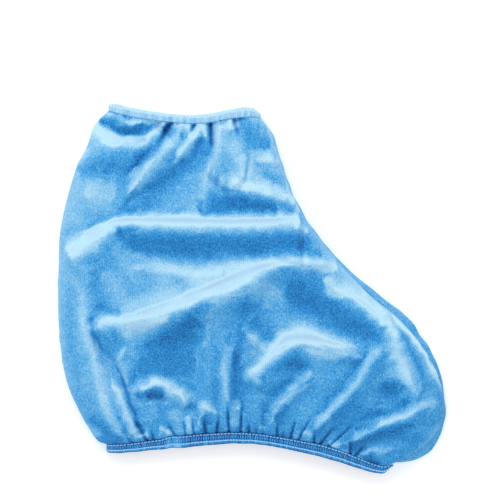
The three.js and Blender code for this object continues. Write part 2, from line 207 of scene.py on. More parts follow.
# Painted highlights, and painted shade where the height is negative, laid on the cloth in strokes.
# The heights are shares of the tone number here.
PAINTED_STROKES = folds(
    # Over the long steps.
    ((-140, 28, -133, 31, -126, 34.5, -118, 40, -109, 45), 0.5, 5.2, 7, 0.1, 0.3),
    ((-131, 34, -120, 42.5, -110, 47.5, -101, 51.2, -90, 52.3), 0.5, 3.4, 3.6, 0.4, 0.3),
    ((-143, 40, -130, 45.5, -117, 51), -0.14, 3, 2.6),
    ((-101, 50, -88, 51.5, -60, 51, -10, 50, 22, 50.6, 37, 51.6), 0.55, 4.8, 6, 0.12, 0.03),
    ((-100, 36, -80, 33.5, -60, 32.5, -40, 31.5, -10, 33, 22, 33.5,
      48, 31), -0.36, 10, 10.5, 0.2, 0.12, 3),
    ((-104, 40, -98, 42.5, -90, 43.5), -0.34, 2.6, 4),
    ((31, 46, 37, 44.5, 42, 42), 0.5, 3.4, 3, 0.3, 0.3),
    ((14, 26.5, 28, 26, 36, 25), -0.34, 3.4, 3.4),
    ((-36, 26, -24, 26, -12, 26), -0.24, 3, 3),
    ((40, 25, 54, 24), -0.4, 4, 4, 0.4, 0.4),
    ((20, 48, 32, 50.5), -0.28, 2.6, 2.6),
    ((-103, 45.5, -95, 46, -84, 45.5), -0.4, 2.4, 3),
    ((-80, 46, -50, 44.5, -24, 45), 0.26, 2.6, 3.4),
    ((-4, 57.5, 16, 57), 0.26, 2.6, 2.6),
    ((-101, 95, -88, 98), 0.24, 5, 5),
    ((-98, 61, -84, 66), -0.24, 3, 3.4),
    ((-60, 60, -48, 59), -0.22, 3, 3),
    ((20, 14, 34, 12.5), -0.2, 3, 3),
    ((16, 66, 24, 64, 30, 60), -0.3, 3, 3.4),
    ((18, 92, 22, 84, 25, 76), 0.22, 2.4, 2.4),
    ((-36, 70, -35, 64, -38, 58), 0.4, 3.4, 3.4),
    ((-38, 57, -24, 57.5, -10, 57), -0.32, 2.8, 2.8),
    ((-112, 30, -98, 30, -90, 22), -0.04, 6, 6),
    ((-100, 29, -84, 23, -68, 17, -52, 12, -38, 8), 0.36, 6, 5.5, 0.4, 0.2),
    ((-105, 34, -98, 24, -84, 11, -56, 5), 0.22, 8, 6),
    ((-100, -10, -84, -10, -62, -4, -50, 4), 0.18, 5, 5),
    ((-56, 3, -40, 8, -26, 12, -10, 18, 6, 21), 0.42, 8, 9, 0.5, 0.4),
    ((-117, -27.5, -108, -25.5, -98, -24, -84, -22, -68, -17, -50, -10.5,
      -32, -4), 0.5, 4.6, 6.6, 0.1, 0.3),
    ((-106, -32, -96, -33, -85, -31, -73, -26.5, -60, -19.5), 0.5, 9, 6.5, 0.5, 0.4),
    ((-115, -33, -106, -36, -101, -40), -0.14, 4, 4),
    ((-56, -8, -36, -3.5, -18, 1, -6, 7, 8, 14), 0.46, 8, 4.6, 0.3, 0.3),
    ((-16, 11, 4, 16.5, 22, 20, 38, 19, 52, 17.5, 64, 15), 0.52, 4.5, 5, 0.3, 0.03),
    ((-112, 12, -106, 6, -102, -4, -97, -12), 0.22, 7, 7),
    ((-119, -12, -108, -17, -98, -18.5), -0.3, 4, 3.5),
    ((-95, 2, -75, 0, -55, -2), 0.1, 9, 8),
    ((-122, 28, -121, 14, -121, 0), -0.06, 6, 6),
    # Round the back of the ankle band.
    ((-122, 127, -114, 119, -104, 114, -92, 111.5, -81, 113, -73, 118.5,
      -67.5, 128), 0.5, 4.5, 5, 0.15, 0.1),
    ((-121, 121, -114, 112, -102, 109), 0.2, 6, 5, 0.1, 0.6),
    ((-119, 129, -110, 124, -98, 119, -86, 118, -78, 121, -73.5, 126), -0.55, 3.8, 2, 0.2, 0.3),
    ((-118, 128, -108, 127, -100, 126), -0.34, 3.5, 4),
    ((-111, 133.5, -98, 132.5), 0.3, 2, 2.4, 0.2, 0.3),
    ((-84, 129.5, -70, 128, -59, 127, -44, 126.5, -30, 127.5, -16, 130), 0.34, 2, 2.2, 0.2, 0.2),
    ((-98, 126.5, -91, 125, -84, 127), 0.34, 2.6, 2.2, 0.4, 0.4),
    ((-134, 90, -115, 96, -98, 97, -84, 100), -0.32, 9, 11, 0.15, 0.4),
    ((-126, 73, -112, 75, -102, 73), 0.24, 12, 13, 0.1, 0.3),
    ((-133, 92, -130, 99, -124, 107), 0.3, 3, 3.5, 0.2, 0.2),
    ((-128, 89, -116, 89, -104, 88), -0.3, 6, 6),
    ((-106, 106, -92, 107.5, -80, 113), -0.16, 2.6, 3.4),
    # Diagonals under the ankle band.
    ((-49, 127, -55, 118, -62, 108.5, -70, 98, -77.5, 87.5, -85, 77,
      -93, 66), 0.36, 5, 3.4, 0.05, 0.4),
    ((-74, 100, -81, 89, -88, 79, -96, 70), 0.24, 2.6, 2.6, 0.3, 0.3),
    ((-63, 124, -68.5, 115, -75.5, 106, -83, 98, -92, 90), -0.62, 3.2, 3.6, 0.05, 0.4),
    ((-57, 90, -64, 81, -74, 71, -86, 62, -100, 56), -0.4, 8, 6.5, 0.3, 0.3),
    ((-104, 59, -80, 59.5, -50, 58.5), -0.18, 4, 4),
    ((-39, 126, -43.5, 117, -48.5, 108.5, -54.5, 101, -61, 94), 0.5, 3, 3.2, 0.05, 0.3),
    ((-54, 116, -59, 108), -0.15, 4, 4),
    ((-37, 117, -38, 106, -44, 97, -53, 87, -63, 76), -0.36, 7, 9, 0.2, 0.4),
    ((-34, 112, -31, 106, -34, 98), -0.4, 3.5, 3),
    ((-37, 129, -36, 121, -35, 113), 0.3, 2.2, 2.2, 0.05, 0.6),
    ((-20, 131, -24, 122, -26, 112, -29, 101, -33, 92, -36, 85), 0.28, 3.2, 3, 0.05, 0.4),
    ((-32, 88, -36, 78, -38, 66), 0.28, 4, 4),
    ((-16, 130, -14, 112, -12, 96), 0.12, 4.5, 4.5, 0.1, 0.3),
    ((-10, 102, -6, 94, -4, 84), 0.28, 9, 7, 0.6, 0.3),
    ((-10, 127, -3, 117, 5, 110, 15, 106), -0.38, 8, 6, 0.2, 0.3),
    ((-12, 129, -6, 128, 0, 125), -0.34, 2.4, 2.6),
    ((-8, 132.5, 4, 132, 10, 128), 0.26, 2, 2.2, 0.2, 0.2),
    ((2, 97, 10, 98, 20, 96), 0.4, 4, 4, 0.4, 0.1),
    ((-28, 78, -12, 78.5, 2, 75.5, 12, 72, 22, 69, 33, 65), 0.55, 4.5, 5, 0.4, 0.05),
    ((-8, 92, 4, 84, 14, 79), 0.2, 5, 4),
    ((8, 88, 17, 82, 26, 76), -0.22, 3.5, 3.5),
    ((-42, 59.5, -22, 62, 0, 61.5, 20, 60), -0.5, 8, 5.5, 0.15, 0.1, 3),
    ((-78, 58, -62, 62, -48, 64, -40, 62), 0.06, 9, 6, 0.25, 0.1),
    ((8, 130, 14, 117, 19, 101, 24, 86, 30, 71, 36, 58), 0.3, 1.5, 1.5, 0.05, 0.05),
    # Behind the heel.
    ((-138, 8, -139, -20, -136, -50, -130, -72), -0.14, 7, 5, 0.3, 0.3),
    ((-129, 4, -128.5, -10, -127.5, -22, -125.5, -34, -121, -49), 0.2, 4.6, 4, 0.5, 0.05),
    ((-127, -20, -125, -32, -122, -44), 0.16, 3, 2.6, 0.3, 0.3),
    ((-123, -18, -121.5, -26, -119.5, -33, -116, -41, -111, -50), -0.42, 1.5, 2.2, 0.4, 0.4),
    ((-121, -44, -117, -62, -114.5, -78, -110, -91, -104.5, -102, -97, -111,
      -92, -117), 0.42, 5, 4, 0.2, 0.3),
    ((-108, -66, -102.5, -76, -98.5, -85, -95, -94, -91.5, -103, -88, -111), 0.5, 3, 3.4, 0.4, 0.2),
    ((-105.5, -55, -100, -66, -96, -76, -92.3, -85, -89, -94, -86, -103,
      -80, -110), -0.5, 1.3, 1.6, 0.4, 0.2),
    ((-110, -82, -103, -94, -96, -105), -0.12, 3, 3),
    ((-124, -97, -114, -106, -106, -114, -96, -117), -0.25, 4, 4),
    ((-82, -33, -91, -44, -98, -54, -97, -66, -93, -76, -87, -89), 0.22, 4, 4, 0.2, 0.5),
    # The deep field under the second step, and the arch.
    ((-81, -48, -69, -42, -57, -35.5, -48, -28.5, -41, -21), -0.34, 7, 14, 0.12, 0.2, 3),
    ((-86, -62, -72, -60, -58, -59, -42, -58), -0.34, 15, 9, 0.12, 0.12, 3),
    ((-90, -72, -87, -60, -84, -50), -0.2, 3, 6, 0.2, 0.2),
    ((-88, -79, -81, -74, -75, -71.5, -68, -72.5, -61, -76.5, -55, -80.5,
      -50, -87), 0.5, 3.6, 4, 0.45, 0.25),
    ((-93, -76, -86, -79, -80, -83), -0.14, 3, 3),
    ((-60, -70, -50, -72, -42, -77), -0.22, 3, 3),
    ((-56, -77, -51, -79, -47.5, -85), 0.34, 3, 3, 0.3, 0.3),
    ((-64, -77, -54, -84, -49, -90), 0.25, 6, 6),
    ((-80, -83, -73, -79.5, -66, -82), -0.46, 3.5, 4.5),
    ((-76, -90, -73, -98), 0.08, 5, 5),
    ((-60, -90, -57, -98, -55, -106), 0.2, 4, 4),
    ((-70, -88, -68, -98, -62, -107), -0.12, 2.5, 2.5),
    ((-29, -13, -32, -24, -34.5, -36, -36, -47), 0.28, 3.6, 3.4, 0.25, 0.5),
    ((-38, -46, -38, -62, -40, -74), -0.12, 4, 4),
    ((-25, -6, -26, -20, -28, -34), 0.22, 7, 6, 0.4, 0.6),
    ((-22, -44, -21, -60, -20, -76, -18, -90, -17, -104), 0.2, 2.2, 3.5, 0.5, 0.2),
    ((-27, -40, -28, -62, -26, -90), -0.2, 4, 4, 0.4, 0.3),
    ((-7, -22, -10, -45, -10, -65, -8, -84, -7, -95), -0.34, 4, 4, 0.3, 0.3),
    ((-4, -1, 6, 0, 14, -2, 12, -16), 0.36, 8, 8),
    ((-8, -12, -4, -22), -0.2, 5, 5),
    # The deep field over the instep, and the bent ridge in it.
    ((20, 0, 35, -5, 55, -11, 70, -19, 84, -29, 97, -40), -0.44, 14, 14, 0.3, 0.3, 2.8),
    ((54, 6, 63, 1, 71.5, -3.5, 81, -9.5, 90, -16.5, 98.5, -24, 106, -31), 0.62, 8, 7.4, 0.12, 0.3),
    ((-9, -61, 2, -61.5, 11, -53.5, 20, -43.5, 30, -36.5, 43, -36.5, 56, -40.5, 68, -43.5,
      81, -47), 0.58, 6, 7, 0.4, 0.4),
    ((58, -36, 68, -39, 78, -44), 0.26, 3, 3),
    ((18, -56, 26, -48, 34, -47), -0.2, 3, 2.6),
    ((74, -54, 82, -50), 0.2, 3, 3),
    ((38, -45, 48, -48, 60, -50, 74, -50), 0.42, 5.5, 5.5, 0.4, 0.4),
    ((24, -57, 36, -59, 44, -62), -0.25, 4, 4, 0.4, 0.4),
    ((62, -58, 72, -58), -0.2, 4, 3.5, 0.4, 0.4),
    ((-5, -33, 1, -38, 6, -42, 12, -48), 0.4, 3.6, 3.6, 0.4, 0.3),
    ((-9, -50, -2, -52), 0.1, 5, 5),
    ((-2, -24, 8, -32, 16, -40), -0.32, 6, 6),
    ((4, -70, 18, -57, 32, -56, 46, -61), -0.42, 7, 6, 0.3, 0.4),
    # Towards the toe.
    ((12, -104, 16, -96, 23, -88, 32, -80, 41, -73, 54, -64), 0.3, 1.7, 2.4, 0.3, 0.6),
    ((10, -96, 12, -86, 21, -75, 32, -65), -0.25, 3, 4),
    ((18, -90, 22, -98, 22, -104), -0.18, 3, 3),
    ((43, -110, 51, -101, 60.5, -91.5, 71, -80, 80, -68.5, 88, -57, 97, -44,
      103, -36), 0.22, 3, 3, 0.4, 0.4),
    ((58, -101, 70, -90, 81, -78), -0.22, 3, 4, 0.4, 0.4),
    ((46, -99, 58, -86, 68, -75, 77, -62, 89, -44), -0.4, 5, 4, 0.3, 0.3),
    ((60, -106, 72, -100, 86, -88), -0.14, 6, 7),
    ((44, -116, 49, -108, 54, -100), -0.2, 2.4, 3),
    ((100, -69, 105, -77, 111, -83, 119, -87), -0.4, 9, 10, 0.35, 0.25),
    ((82, -99, 96, -94.5, 108, -91, 122, -86), -0.34, 5, 3),
    ((127, -82, 133, -86, 140, -90), 0.26, 4, 4),
    ((102, -22, 107, -36, 110.5, -47, 114.5, -58, 118.5, -70, 122, -80), 0.46, 4.4, 6, 0.2, 0.4),
    ((94, -34, 100, -44, 104, -54), -0.3, 4.5, 4.5, 0.3, 0.3),
    ((112, -31, 116.5, -41, 122, -50, 127, -60, 130, -72), -0.3, 2.6, 2.6, 0.2, 0.5),
    ((104, -40, 108, -50, 111, -58), 0.14, 3, 3),
    ((104.5, -18.8, 112.7, -26.8, 119.8, -34.2, 127, -42.8, 132.3, -52, 137.2, -61.8, 141, -70.2,
      143.6, -79.4), 0.5, 1.6, 2.4, 0.15, 0.3),
    ((107.5, -15.5, 116, -24, 123.5, -32, 130, -41, 135.5, -50.5, 140, -60, 144, -69.5,
      148, -82), -0.3, 3, 1, 0.1, 0.1),
    ((62, -120, 73, -117.5, 80, -113, 90, -107.5, 100, -102.5, 110, -99.5, 120, -95,
      127, -90), 0.3, 3, 2.2, 0.4, 0.3),
    ((72, -120, 84, -113.5, 98, -108.5, 112, -105.5, 124, -102), -0.4, 3.6, 6, 0.15, 0.3),
    ((70, -106, 84, -99, 98, -95, 112, -92), -0.25, 4, 4),
    ((80, -126, 92, -123.5, 106, -124), 0.25, 2.8, 2.5, 0.4, 0.6),
    ((116, -134, 128, -126, 137, -116, 144, -102), 0.2, 6, 6),
    # Small painted highlights and painted shade, first on the gathers over the sole band.
    ((-93, -105, -87, -112), 0.35, 2.5, 2.5),
    ((-66, -113, -57, -113), 0.3, 2.2, 2.2),
    ((-54, -109, -40, -107), 0.3, 2.5, 2.5),
    ((30, -112, 36, -113), 0.3, 2.2, 2.2),
    ((-71, -105, -62, -111), 0.5, 2.4, 2.4),
    ((-90, -111.5, -79, -111.5), 0.5, 2, 2),
    ((-49, -96, -48.5, -107), 0.45, 2, 2),
    ((-40.5, -105, -38.5, -95, -34, -90.5, -28, -94), 0.5, 2.4, 2.4),
    ((-36, -96, -33.5, -104), -0.3, 2.4, 2.4),
    ((86, -131, 98, -135), -0.45, 2.5, 2.5),
    ((-13, -82, -13, -106), 0.34, 2.6, 2.6),
    ((-21, -107, -16, -107), 0.4, 2, 2),
    ((-11, -107.5, -6, -107.5), 0.4, 2, 2),
    ((4, -107, 11, -106.5), 0.45, 2.6, 2.6),
    ((37, -111, 47, -111), 0.5, 2.6, 2.6),
    ((58, -118.5, 68, -118.5), 0.5, 2.2, 2.2),
    ((-44, 112, -48, 105, -54, 99), 0.4, 3.4, 3.4),
    ((-32, 86, -27, 85, -22, 81), 0.2, 3.4, 3.4),
    ((-20, 79, -9, 81.5, -2, 88), 0.4, 4, 4),
    ((-3, 104, 3, 103, 9, 105), 0.22, 3, 3),
    ((-102, 105, -90, 108.5, -78, 114), -0.4, 3, 3.4),
    ((-64, 116, -58, 118, -48, 116), -0.4, 4, 4),
    ((-77, 118, -74, 125), -0.45, 3, 3, 0.4, 0.4),
    ((-61, 121, -58, 125), -0.45, 3, 3, 0.4, 0.4),
    ((-10, 124, -9, 130), -0.34, 3, 3, 0.4, 0.4),
    ((-41, 103, -32, 101), -0.4, 3, 3, 0.4, 0.4),
    ((-4, 73, 10, 71, 24, 67), -0.34, 3, 3),
    ((44, 16, 52, 16, 58, 12), 0.4, 5, 4, 0.3, 0.3),
    ((57, -2.5, 63, -4, 69, -7), 0.6, 3.6, 3.6, 0.3, 0.3),
    ((86, -17, 92, -21, 97, -26), 0.4, 3, 3, 0.3, 0.3),
    ((-33, -10, -24, -9, -12, -5.5, 0, -0.5), 0.3, 3.4, 3.4),
    ((-97, -30, -86, -28.5, -74, -25, -60, -20), 0.5, 3.6, 4),
    ((-118, -27, -107, -30, -97, -37), -0.2, 3.4, 3.4),
    ((-126.5, -18, -125, -32, -121, -44, -118, -54), 0.36, 4, 4),
    ((-124, 10, -123, 2), 0.2, 4, 4, 0.4, 0.4),
    ((-98, 1, -95, -7), 0.16, 3.4, 3.4, 0.4, 0.4),
    ((-108, -92, -102, -102, -97, -110), -0.14, 3, 3.4),
    ((26, -87, 21, -95, 16, -100), -0.34, 3.4, 3.4),
    ((-44, -86, -42, -99), -0.3, 3, 3, 0.4, 0.4),
    ((-18, -84, -18, -99), -0.26, 2.8, 2.8, 0.4, 0.4),
    ((-74, -89, -64, -90), -0.24, 3, 3, 0.4, 0.4),
    ((-102, -95, -98, -103, -95, -110), -0.34, 2.6, 2.6),
    ((99, -40, 104, -46, 108, -56), 0.42, 5, 5, 0.3, 0.3),
    ((66, -38.5, 73, -41, 80, -46), 0.3, 2.6, 2.6),
    ((36, -45.5, 50, -48.5, 62, -51), 0.36, 3, 4),
    ((84, -43, 90, -45), -0.24, 3.4, 3.4, 0.4, 0.4),
    ((97, -30, 102, -33), -0.34, 3.6, 3.6, 0.4, 0.4),
    ((110, -27, 114, -36, 121, -43), -0.24, 2.6, 3),
    ((93, -48, 91, -56, 86, -62), -0.2, 2.6, 2.6),
    ((27, -29, 35, -27.5, 42, -29), 0.2, 2.6, 2.6),
    ((0, -49, 5, -44, 13, -38), 0.24, 3, 3),
    ((18, -53, 26, -46), -0.14, 3, 3),
    ((-8, -28, -2, -24), -0.24, 3, 3, 0.4, 0.4),
    ((-46, -14, -38, -16), -0.16, 3.4, 3.4, 0.4, 0.4),
    ((12, -8, 20, -14), -0.16, 4, 4, 0.4, 0.4),
    ((72, -8, 80, -13), -0.36, 3.4, 3.4, 0.4, 0.4),
    ((-16, -32, -17, -46), -0.24, 3, 3, 0.4, 0.4),
    ((-40, -28, -39, -37), 0.24, 4, 4, 0.4, 0.4),
    ((98, -76, 97, -86), 0.16, 3.4, 3.4, 0.4, 0.4),
    ((116, -74, 124, -77), 0.2, 3, 3, 0.4, 0.4),
    ((78, -107, 86, -105.5, 98, -101), -0.4, 3.4, 3.4),
    ((112, -113, 122, -114, 128, -110), -0.18, 5, 5),
    ((26, -78, 34, -71), 0.2, 3, 3, 0.4, 0.4),
    ((-86, 127, -70, 125.5, -50, 125, -34, 125), 0.5, 3, 2.6),
    ((-24, 128, -16, 128, -13, 120), 0.55, 4, 4),
    ((-7, 131, 2, 131), 0.5, 3.4, 3.4, 0.3, 0.3),
    ((-110, -100, -104, -112), -0.16, 3, 3, 0.3, 0.3),
    ((-133, 25, -125, 28, -116, 34), 0.4, 4, 4.4),
    ((-114, 38.5, -108, 42.5, -102, 44), 0.36, 3, 3.4),
    ((-128, 44.5, -118, 49.5, -108, 53.5, -96, 58, -84, 62), -0.34, 2.6, 2.8),
    ((-86, -105, -83, -113), 0.4, 3, 3, 0.4, 0.4),
    ((-72, -112, -58, -110, -42, -107), 0.22, 4, 4),
    ((-125, -102, -116, -114), 0.24, 4, 4, 0.4, 0.4),
    ((32, 62, 36, 57), 0.3, 3, 3, 0.4, 0.4),
    ((15, 77.5, 25, 75), 0.3, 3, 3, 0.4, 0.4),
    ((62, -58, 82, -58), 0.22, 3, 3.4, 0.4, 0.4),
    ((38, -58, 44, -64), 0.22, 3, 3, 0.4, 0.4),
    ((84, -128, 92, -129), -0.3, 3, 3, 0.4, 0.4),
)

# Painted highlight cores along the crests, where the brightest bands turn a little greyer.
HIGHLIGHT_CORES = folds(
    ((-132, 36, -119, 46, -106, 51.5, -92, 52.5, -60, 51.8, -20, 51.3, 14, 52,
      34, 54), 0.3, 1.3, 1.5, 0.3, 0.1),
    ((-104, -22.5, -88, -19, -70, -13, -52, -6, -34, 1, -18, 8, -6, 13), 0.26, 2, 1.8, 0.3, 0.3),
    ((-40, -2, -20, 6, 0, 14, 16, 18, 34, 17.5), 0.24, 2, 2, 0.3, 0.3),
    ((-116, 113, -104, 109, -90, 108, -79, 111), 0.26, 2.2, 2.2, 0.3, 0.3),
    ((18, -44, 28, -37.5, 42, -36.5, 56, -40, 70, -42), 0.26, 2, 2, 0.3, 0.3),
    ((22, -48, 32, -42, 44, -41.5, 58, -46), 0.2, 1.4, 1.4, 0.3, 0.3),
    ((60, 1, 72, -4.5, 84, -11, 96, -21), 0.24, 2, 2, 0.3, 0.3),
    ((-22, 77, 0, 74, 16, 70, 28, 65), 0.24, 1.6, 1.6, 0.3, 0.3),
)


@dataclass(frozen=True)
class Pleat:
    """A slit between two gathers, which runs into the cloth from a band."""

    foot: float  # its place along the band
    length: float
    lean: float  # how far its tip stands towards the toe of its foot
    depth: float
    width: float = 1.0


SOLE_PLEATS = (
    Pleat(-91.0, 15, -11, 0.9, 1.1),
    Pleat(-79.7, 25, -15, 1.5, 1.3),
    Pleat(-75.0, 10, -1.5, 1.1, 1.1),
    Pleat(-58.0, 12, -7.5, 1.1, 1.1),
    Pleat(-50.5, 14, -1.5, 1.0, 1.0),
    Pleat(-44.0, 14, -1.5, 1.3, 1.0),
    Pleat(-35.2, 13, -1.5, 1.5, 1.5),
    Pleat(-26.8, 16, 2.3, 1.6, 1.2),
    Pleat(-17.6, 27, -0.8, 1.6, 1.1),
    Pleat(-8.6, 27, 1.5, 1.6, 1.1),
    Pleat(-2.3, 9, 0, 1.3, 0.9),
    Pleat(3.2, 6, 0, 0.8, 0.9),
    Pleat(8.5, 28, 0, 0.7, 1.8),
    Pleat(19.0, 13, 0.8, 1.3, 1.0),
    Pleat(23.4, 7, 0.8, 1.0, 0.9),
    Pleat(29.2, 17, 4.6, 1.5, 1.2),
    Pleat(35.0, 21, 12, 1.3, 1.1),
    Pleat(47.5, 11, -0.8, 1.4, 1.0),
    Pleat(52.0, 17, 13, 1.5, 1.2),
    Pleat(58.5, 19, 21, 1.3, 1.1),
    Pleat(75.0, 12, -0.5, 1.4, 1.0),
    Pleat(79.0, 11, 8, 1.3, 1.1),
)

LEG_PLEATS = (
    Pleat(-61.0, 20, -13, 1.6, 2.0),
    Pleat(-43.6, 10, -4, 1.3, 1.5),
    Pleat(-31.5, 24, 0.8, 1.6, 1.3),
    Pleat(-23.8, 5, 0, 0.9, 1.0),
    Pleat(-14.0, 18, 5, 1.2, 1.2),
    Pleat(-97.0, 5, 2, 0.7, 1.2),
)


def blend(a: Number, b: Number, share: Number) -> Number:
    """Value between a and b."""
    return a + (b - a) * share


def smoothstep(value: Number) -> np.ndarray:
    """An S-curve from 0 to 1 for a value from 0 to 1."""
    t = np.clip(value, 0.0, 1.0)
    return t * t * (3 - 2 * t)


def ease(share: Number) -> np.ndarray:
    """A fall from 1 to 0 that starts and ends level."""
    return (1 + np.cos(np.pi * np.clip(share, 0, 1))) / 2


def fade(share: Number) -> np.ndarray:
    """A fall from 1 to 0 that ends level."""
    return (1 - np.clip(share, 0, 1)) ** 2


def quarter(share: np.ndarray) -> np.ndarray:
    """Height of a quarter round: 0 at its foot, where it stands upright, and 1 past its end."""
    return np.sqrt(1 - (1 - np.clip(share, 0, 1)) ** 2)


def through(values: np.ndarray, place: np.ndarray) -> np.ndarray:
    """A smooth curve through evenly spaced values.

    Args:
        values: The values, one row each.
        place: Where to read the curve, in rows.

    Returns:
        One value or row for each place.
    """
    last = len(values) - 1
    i = np.clip(np.floor(place).astype(int), 0, last - 1)
    t = place - i
    a, b, c, d = (values[np.clip(i + k, 0, last)] for k in (-1, 0, 1, 2))
    if values.ndim > 1:
        t = t[..., None]
    bend = 2 * a - 5 * b + 4 * c - d + (3 * b - a - 3 * c + d) * t
    return 0.5 * (2 * b + t * (c - a + t * bend))


def bow(table: tuple[Point, ...], share: np.ndarray) -> np.ndarray:
    """How far an opening bows at a share of the way across.

    Args:
        table: Shares of the way across, and the bow at each.
        share: Where to read it.

    Returns:
        The bow at each share.
    """
    shares, rises = np.array(table, float).T
    i = np.clip(np.searchsorted(shares, share, side="right") - 1, 0, len(shares) - 2)
    t = np.clip((share - shares[i]) / (shares[i + 1] - shares[i]), 0, 1)
    return through(rises, i + t)


class Noise:
    """Smooth seeded noise over the plane, for what is irregular in the cloth."""

    def __init__(self, seed: int, waves: int = 24) -> None:
        """Draws the directions and phases of the waves that the noise is the sum of.

        Args:
            seed: Seed of the draw.
            waves: Number of waves.
        """
        rng = np.random.default_rng(seed)
        angle = rng.uniform(0, 2 * np.pi, waves)
        size = rng.uniform(0.6, 1.5, waves)
        self.turns = np.stack([np.cos(angle), np.sin(angle)]) * size
        self.phase = rng.uniform(0, 2 * np.pi, waves)
        self.scale = math.sqrt(2 / waves)

    def at(self, x: np.ndarray, y: np.ndarray, period: float) -> np.ndarray:
        """Noise of about -1 to 1.

        Args:
            x: Places along the foot.
            y: Places up the leg.
            period: Length of a wave of middle size.

        Returns:
            The noise at each point.
        """
        k = 2 * np.pi / period
        total = np.zeros(np.broadcast(x, y).shape)
        for cx, cy, phase in zip(*self.turns, self.phase):
            total += np.sin(k * (cx * x + cy * y) + phase)
        return total * self.scale


@dataclass(frozen=True)
class BagForm:
    """The smooth form that both panels and both bands share."""

    seam_height: float = 9
    mouth_seam_height: float = 7  # at an opening
    back_rounding: float = 26  # width over which the near panel rolls down to the back seam
    mouth_rounding: float = 11  # the same at an opening
    floor_rounding: float = 9  # width over which the far panel rolls up to the back seam
    lip_radius: float = 3.4  # of the far panel's roll at the front seam
    mouth_lip_radius: float = 5
    mouth_reach: float = 2.2  # rows of the section table over which an opening has its say
    bow_reach: float = 6  # rows over which its bow fades
    wall: float = 1.8

    def sections(self, rows: np.ndarray) -> Ends:
        """Reads the section table at places that may lie between two rows."""
        names = ("back", "front", "far", "crown", "roll")
        return {n: through(np.array([getattr(s, n) for s in SECTIONS], float), rows) for n in names}

    def mouth(self, rows: np.ndarray) -> np.ndarray:
        """How much each row takes part in an opening, from 0 to 1."""
        return np.maximum(fade(rows / self.mouth_reach), fade((LAST - rows) / self.mouth_reach))

    def seam(self, rows: np.ndarray) -> np.ndarray:
        """Height of the seams above the surface."""
        return blend(self.seam_height, self.mouth_seam_height, self.mouth(rows))

    def across(self, ends: Ends, rows: np.ndarray, share: np.ndarray) -> np.ndarray:
        """Points at shares of the way from the back seam to the front seam.

        Args:
            ends: The sections' values, from sections().
            rows: The place of each section in the table.
            share: The shares.

        Returns:
            The points in the plane.
        """
        rise = bow(SOLE_BOW, share) * ease(rows / self.bow_reach)
        rise = rise + bow(ANKLE_BOW, share) * ease((LAST - rows) / self.bow_reach)
        back, front = ends["back"], ends["front"]
        xy = back + (front - back) * share[..., None]
        return np.stack([xy[..., 0], xy[..., 1] + rise], axis=-1)

    def width(self, ends: Ends) -> np.ndarray:
        """Distance from seam to seam."""
        return np.linalg.norm(ends["front"] - ends["back"], axis=-1)


FORM = BagForm()

FOLD_RISE = 2.5  # how many times sooner a fold gets its full height than its full width
FOLD_REACH = 2.6  # widths from its path at which a fold has died out
HALO_REACH = 4.4  # the same for a stroke with a halo
TIP_WIDTH = 0.3  # share of its width that a fold has at its tips


def fold_height(fold: Fold, x: np.ndarray, y: np.ndarray, halo: float = 0) -> np.ndarray:
    """Height that one fold adds at points of the panel.

    Args:
        fold: The fold.
        x: Places along the foot.
        y: Places up the leg.
        halo: Share of the height that spreads over twice the width.

    Returns:
        The height at each point, in the fold's own unit.
    """
    line = fold.line()
    steps = len(line) - 1
    reach = (HALO_REACH if halo else FOLD_REACH) * max(fold.lit, fold.shaded)
    low, high = line.min(axis=0) - reach, line.max(axis=0) + reach
    inside = (x > low[0]) & (x < high[0]) & (y > low[1]) & (y < high[1])
    px, py = x[inside], y[inside]
    nearest = np.full(px.shape, np.inf)
    side = np.zeros(px.shape)
    place = np.zeros(px.shape)
    for k in range(steps):
        ax, ay = line[k]
        dx, dy = line[k + 1] - line[k]
        t = np.clip(((px - ax) * dx + (py - ay) * dy) / (dx * dx + dy * dy), 0, 1)
        ox, oy = px - ax - dx * t, py - ay - dy * t
        distance = np.hypot(ox, oy)
        closer = distance < nearest
        nearest = np.where(closer, distance, nearest)
        side = np.where(closer, dx * oy - dy * ox, side)
        place = np.where(closer, (k + t) / steps, place)
    start, end = place / fold.widens, (1 - place) / fold.narrows
    width = np.where(side > 0, fold.lit, fold.shaded)
    width = width * blend(TIP_WIDTH, 1, smoothstep(start) * smoothstep(end))
    rise = smoothstep(FOLD_RISE * start) * smoothstep(FOLD_RISE * end)
    result = np.zeros(x.shape)
    over = nearest / width
    profile = blend(np.exp(-(over**fold.edge)), np.exp(-((over / 2) ** 2)), halo)
    result[inside] = fold.height * rise * profile
    return result


def padded(heights: np.ndarray, cells: int, axis: int) -> np.ndarray:
    """A grid of heights with its edges repeated over a number of cells along one axis."""
    widths = [(cells, cells) if k == axis else (0, 0) for k in (0, 1)]
    return np.pad(heights, widths, mode="edge")


def blurred(heights: np.ndarray, cells: float) -> np.ndarray:
    """A grid of heights made smoother over a number of cells in both directions.

    Args:
        heights: The grid.
        cells: How far the smoothing reaches, as one standard deviation.

    Returns:
        The smoother grid.
    """
    reach = max(1, int(math.ceil(3 * cells)))
    kernel = np.exp(-((np.arange(-reach, reach + 1) / cells) ** 2) / 2)
    kernel /= kernel.sum()
    for axis in (0, 1):
        wide = padded(heights, reach, axis)
        heights = np.apply_along_axis(np.convolve, axis, wide, kernel, mode="valid")
    return heights


def lowest_near(heights: np.ndarray, cells: int) -> np.ndarray:
    """For each place of a grid, the lowest height within a number of cells.

    Args:
        heights: The grid.
        cells: How far to look in each direction.

    Returns:
        The grid of the lowest heights.
    """
    for axis in (0, 1):
        wide = padded(heights, cells, axis)
        count = heights.shape[axis]
        parts = [np.take(wide, np.arange(k, k + count), axis=axis) for k in range(2 * cells + 1)]
        heights = np.min(parts, axis=0)
    return heights


def raised(plan: np.ndarray, height: np.ndarray) -> np.ndarray:
    """Points of the plane lifted to their heights."""
    return np.concatenate([plan, height[..., None]], axis=-1)


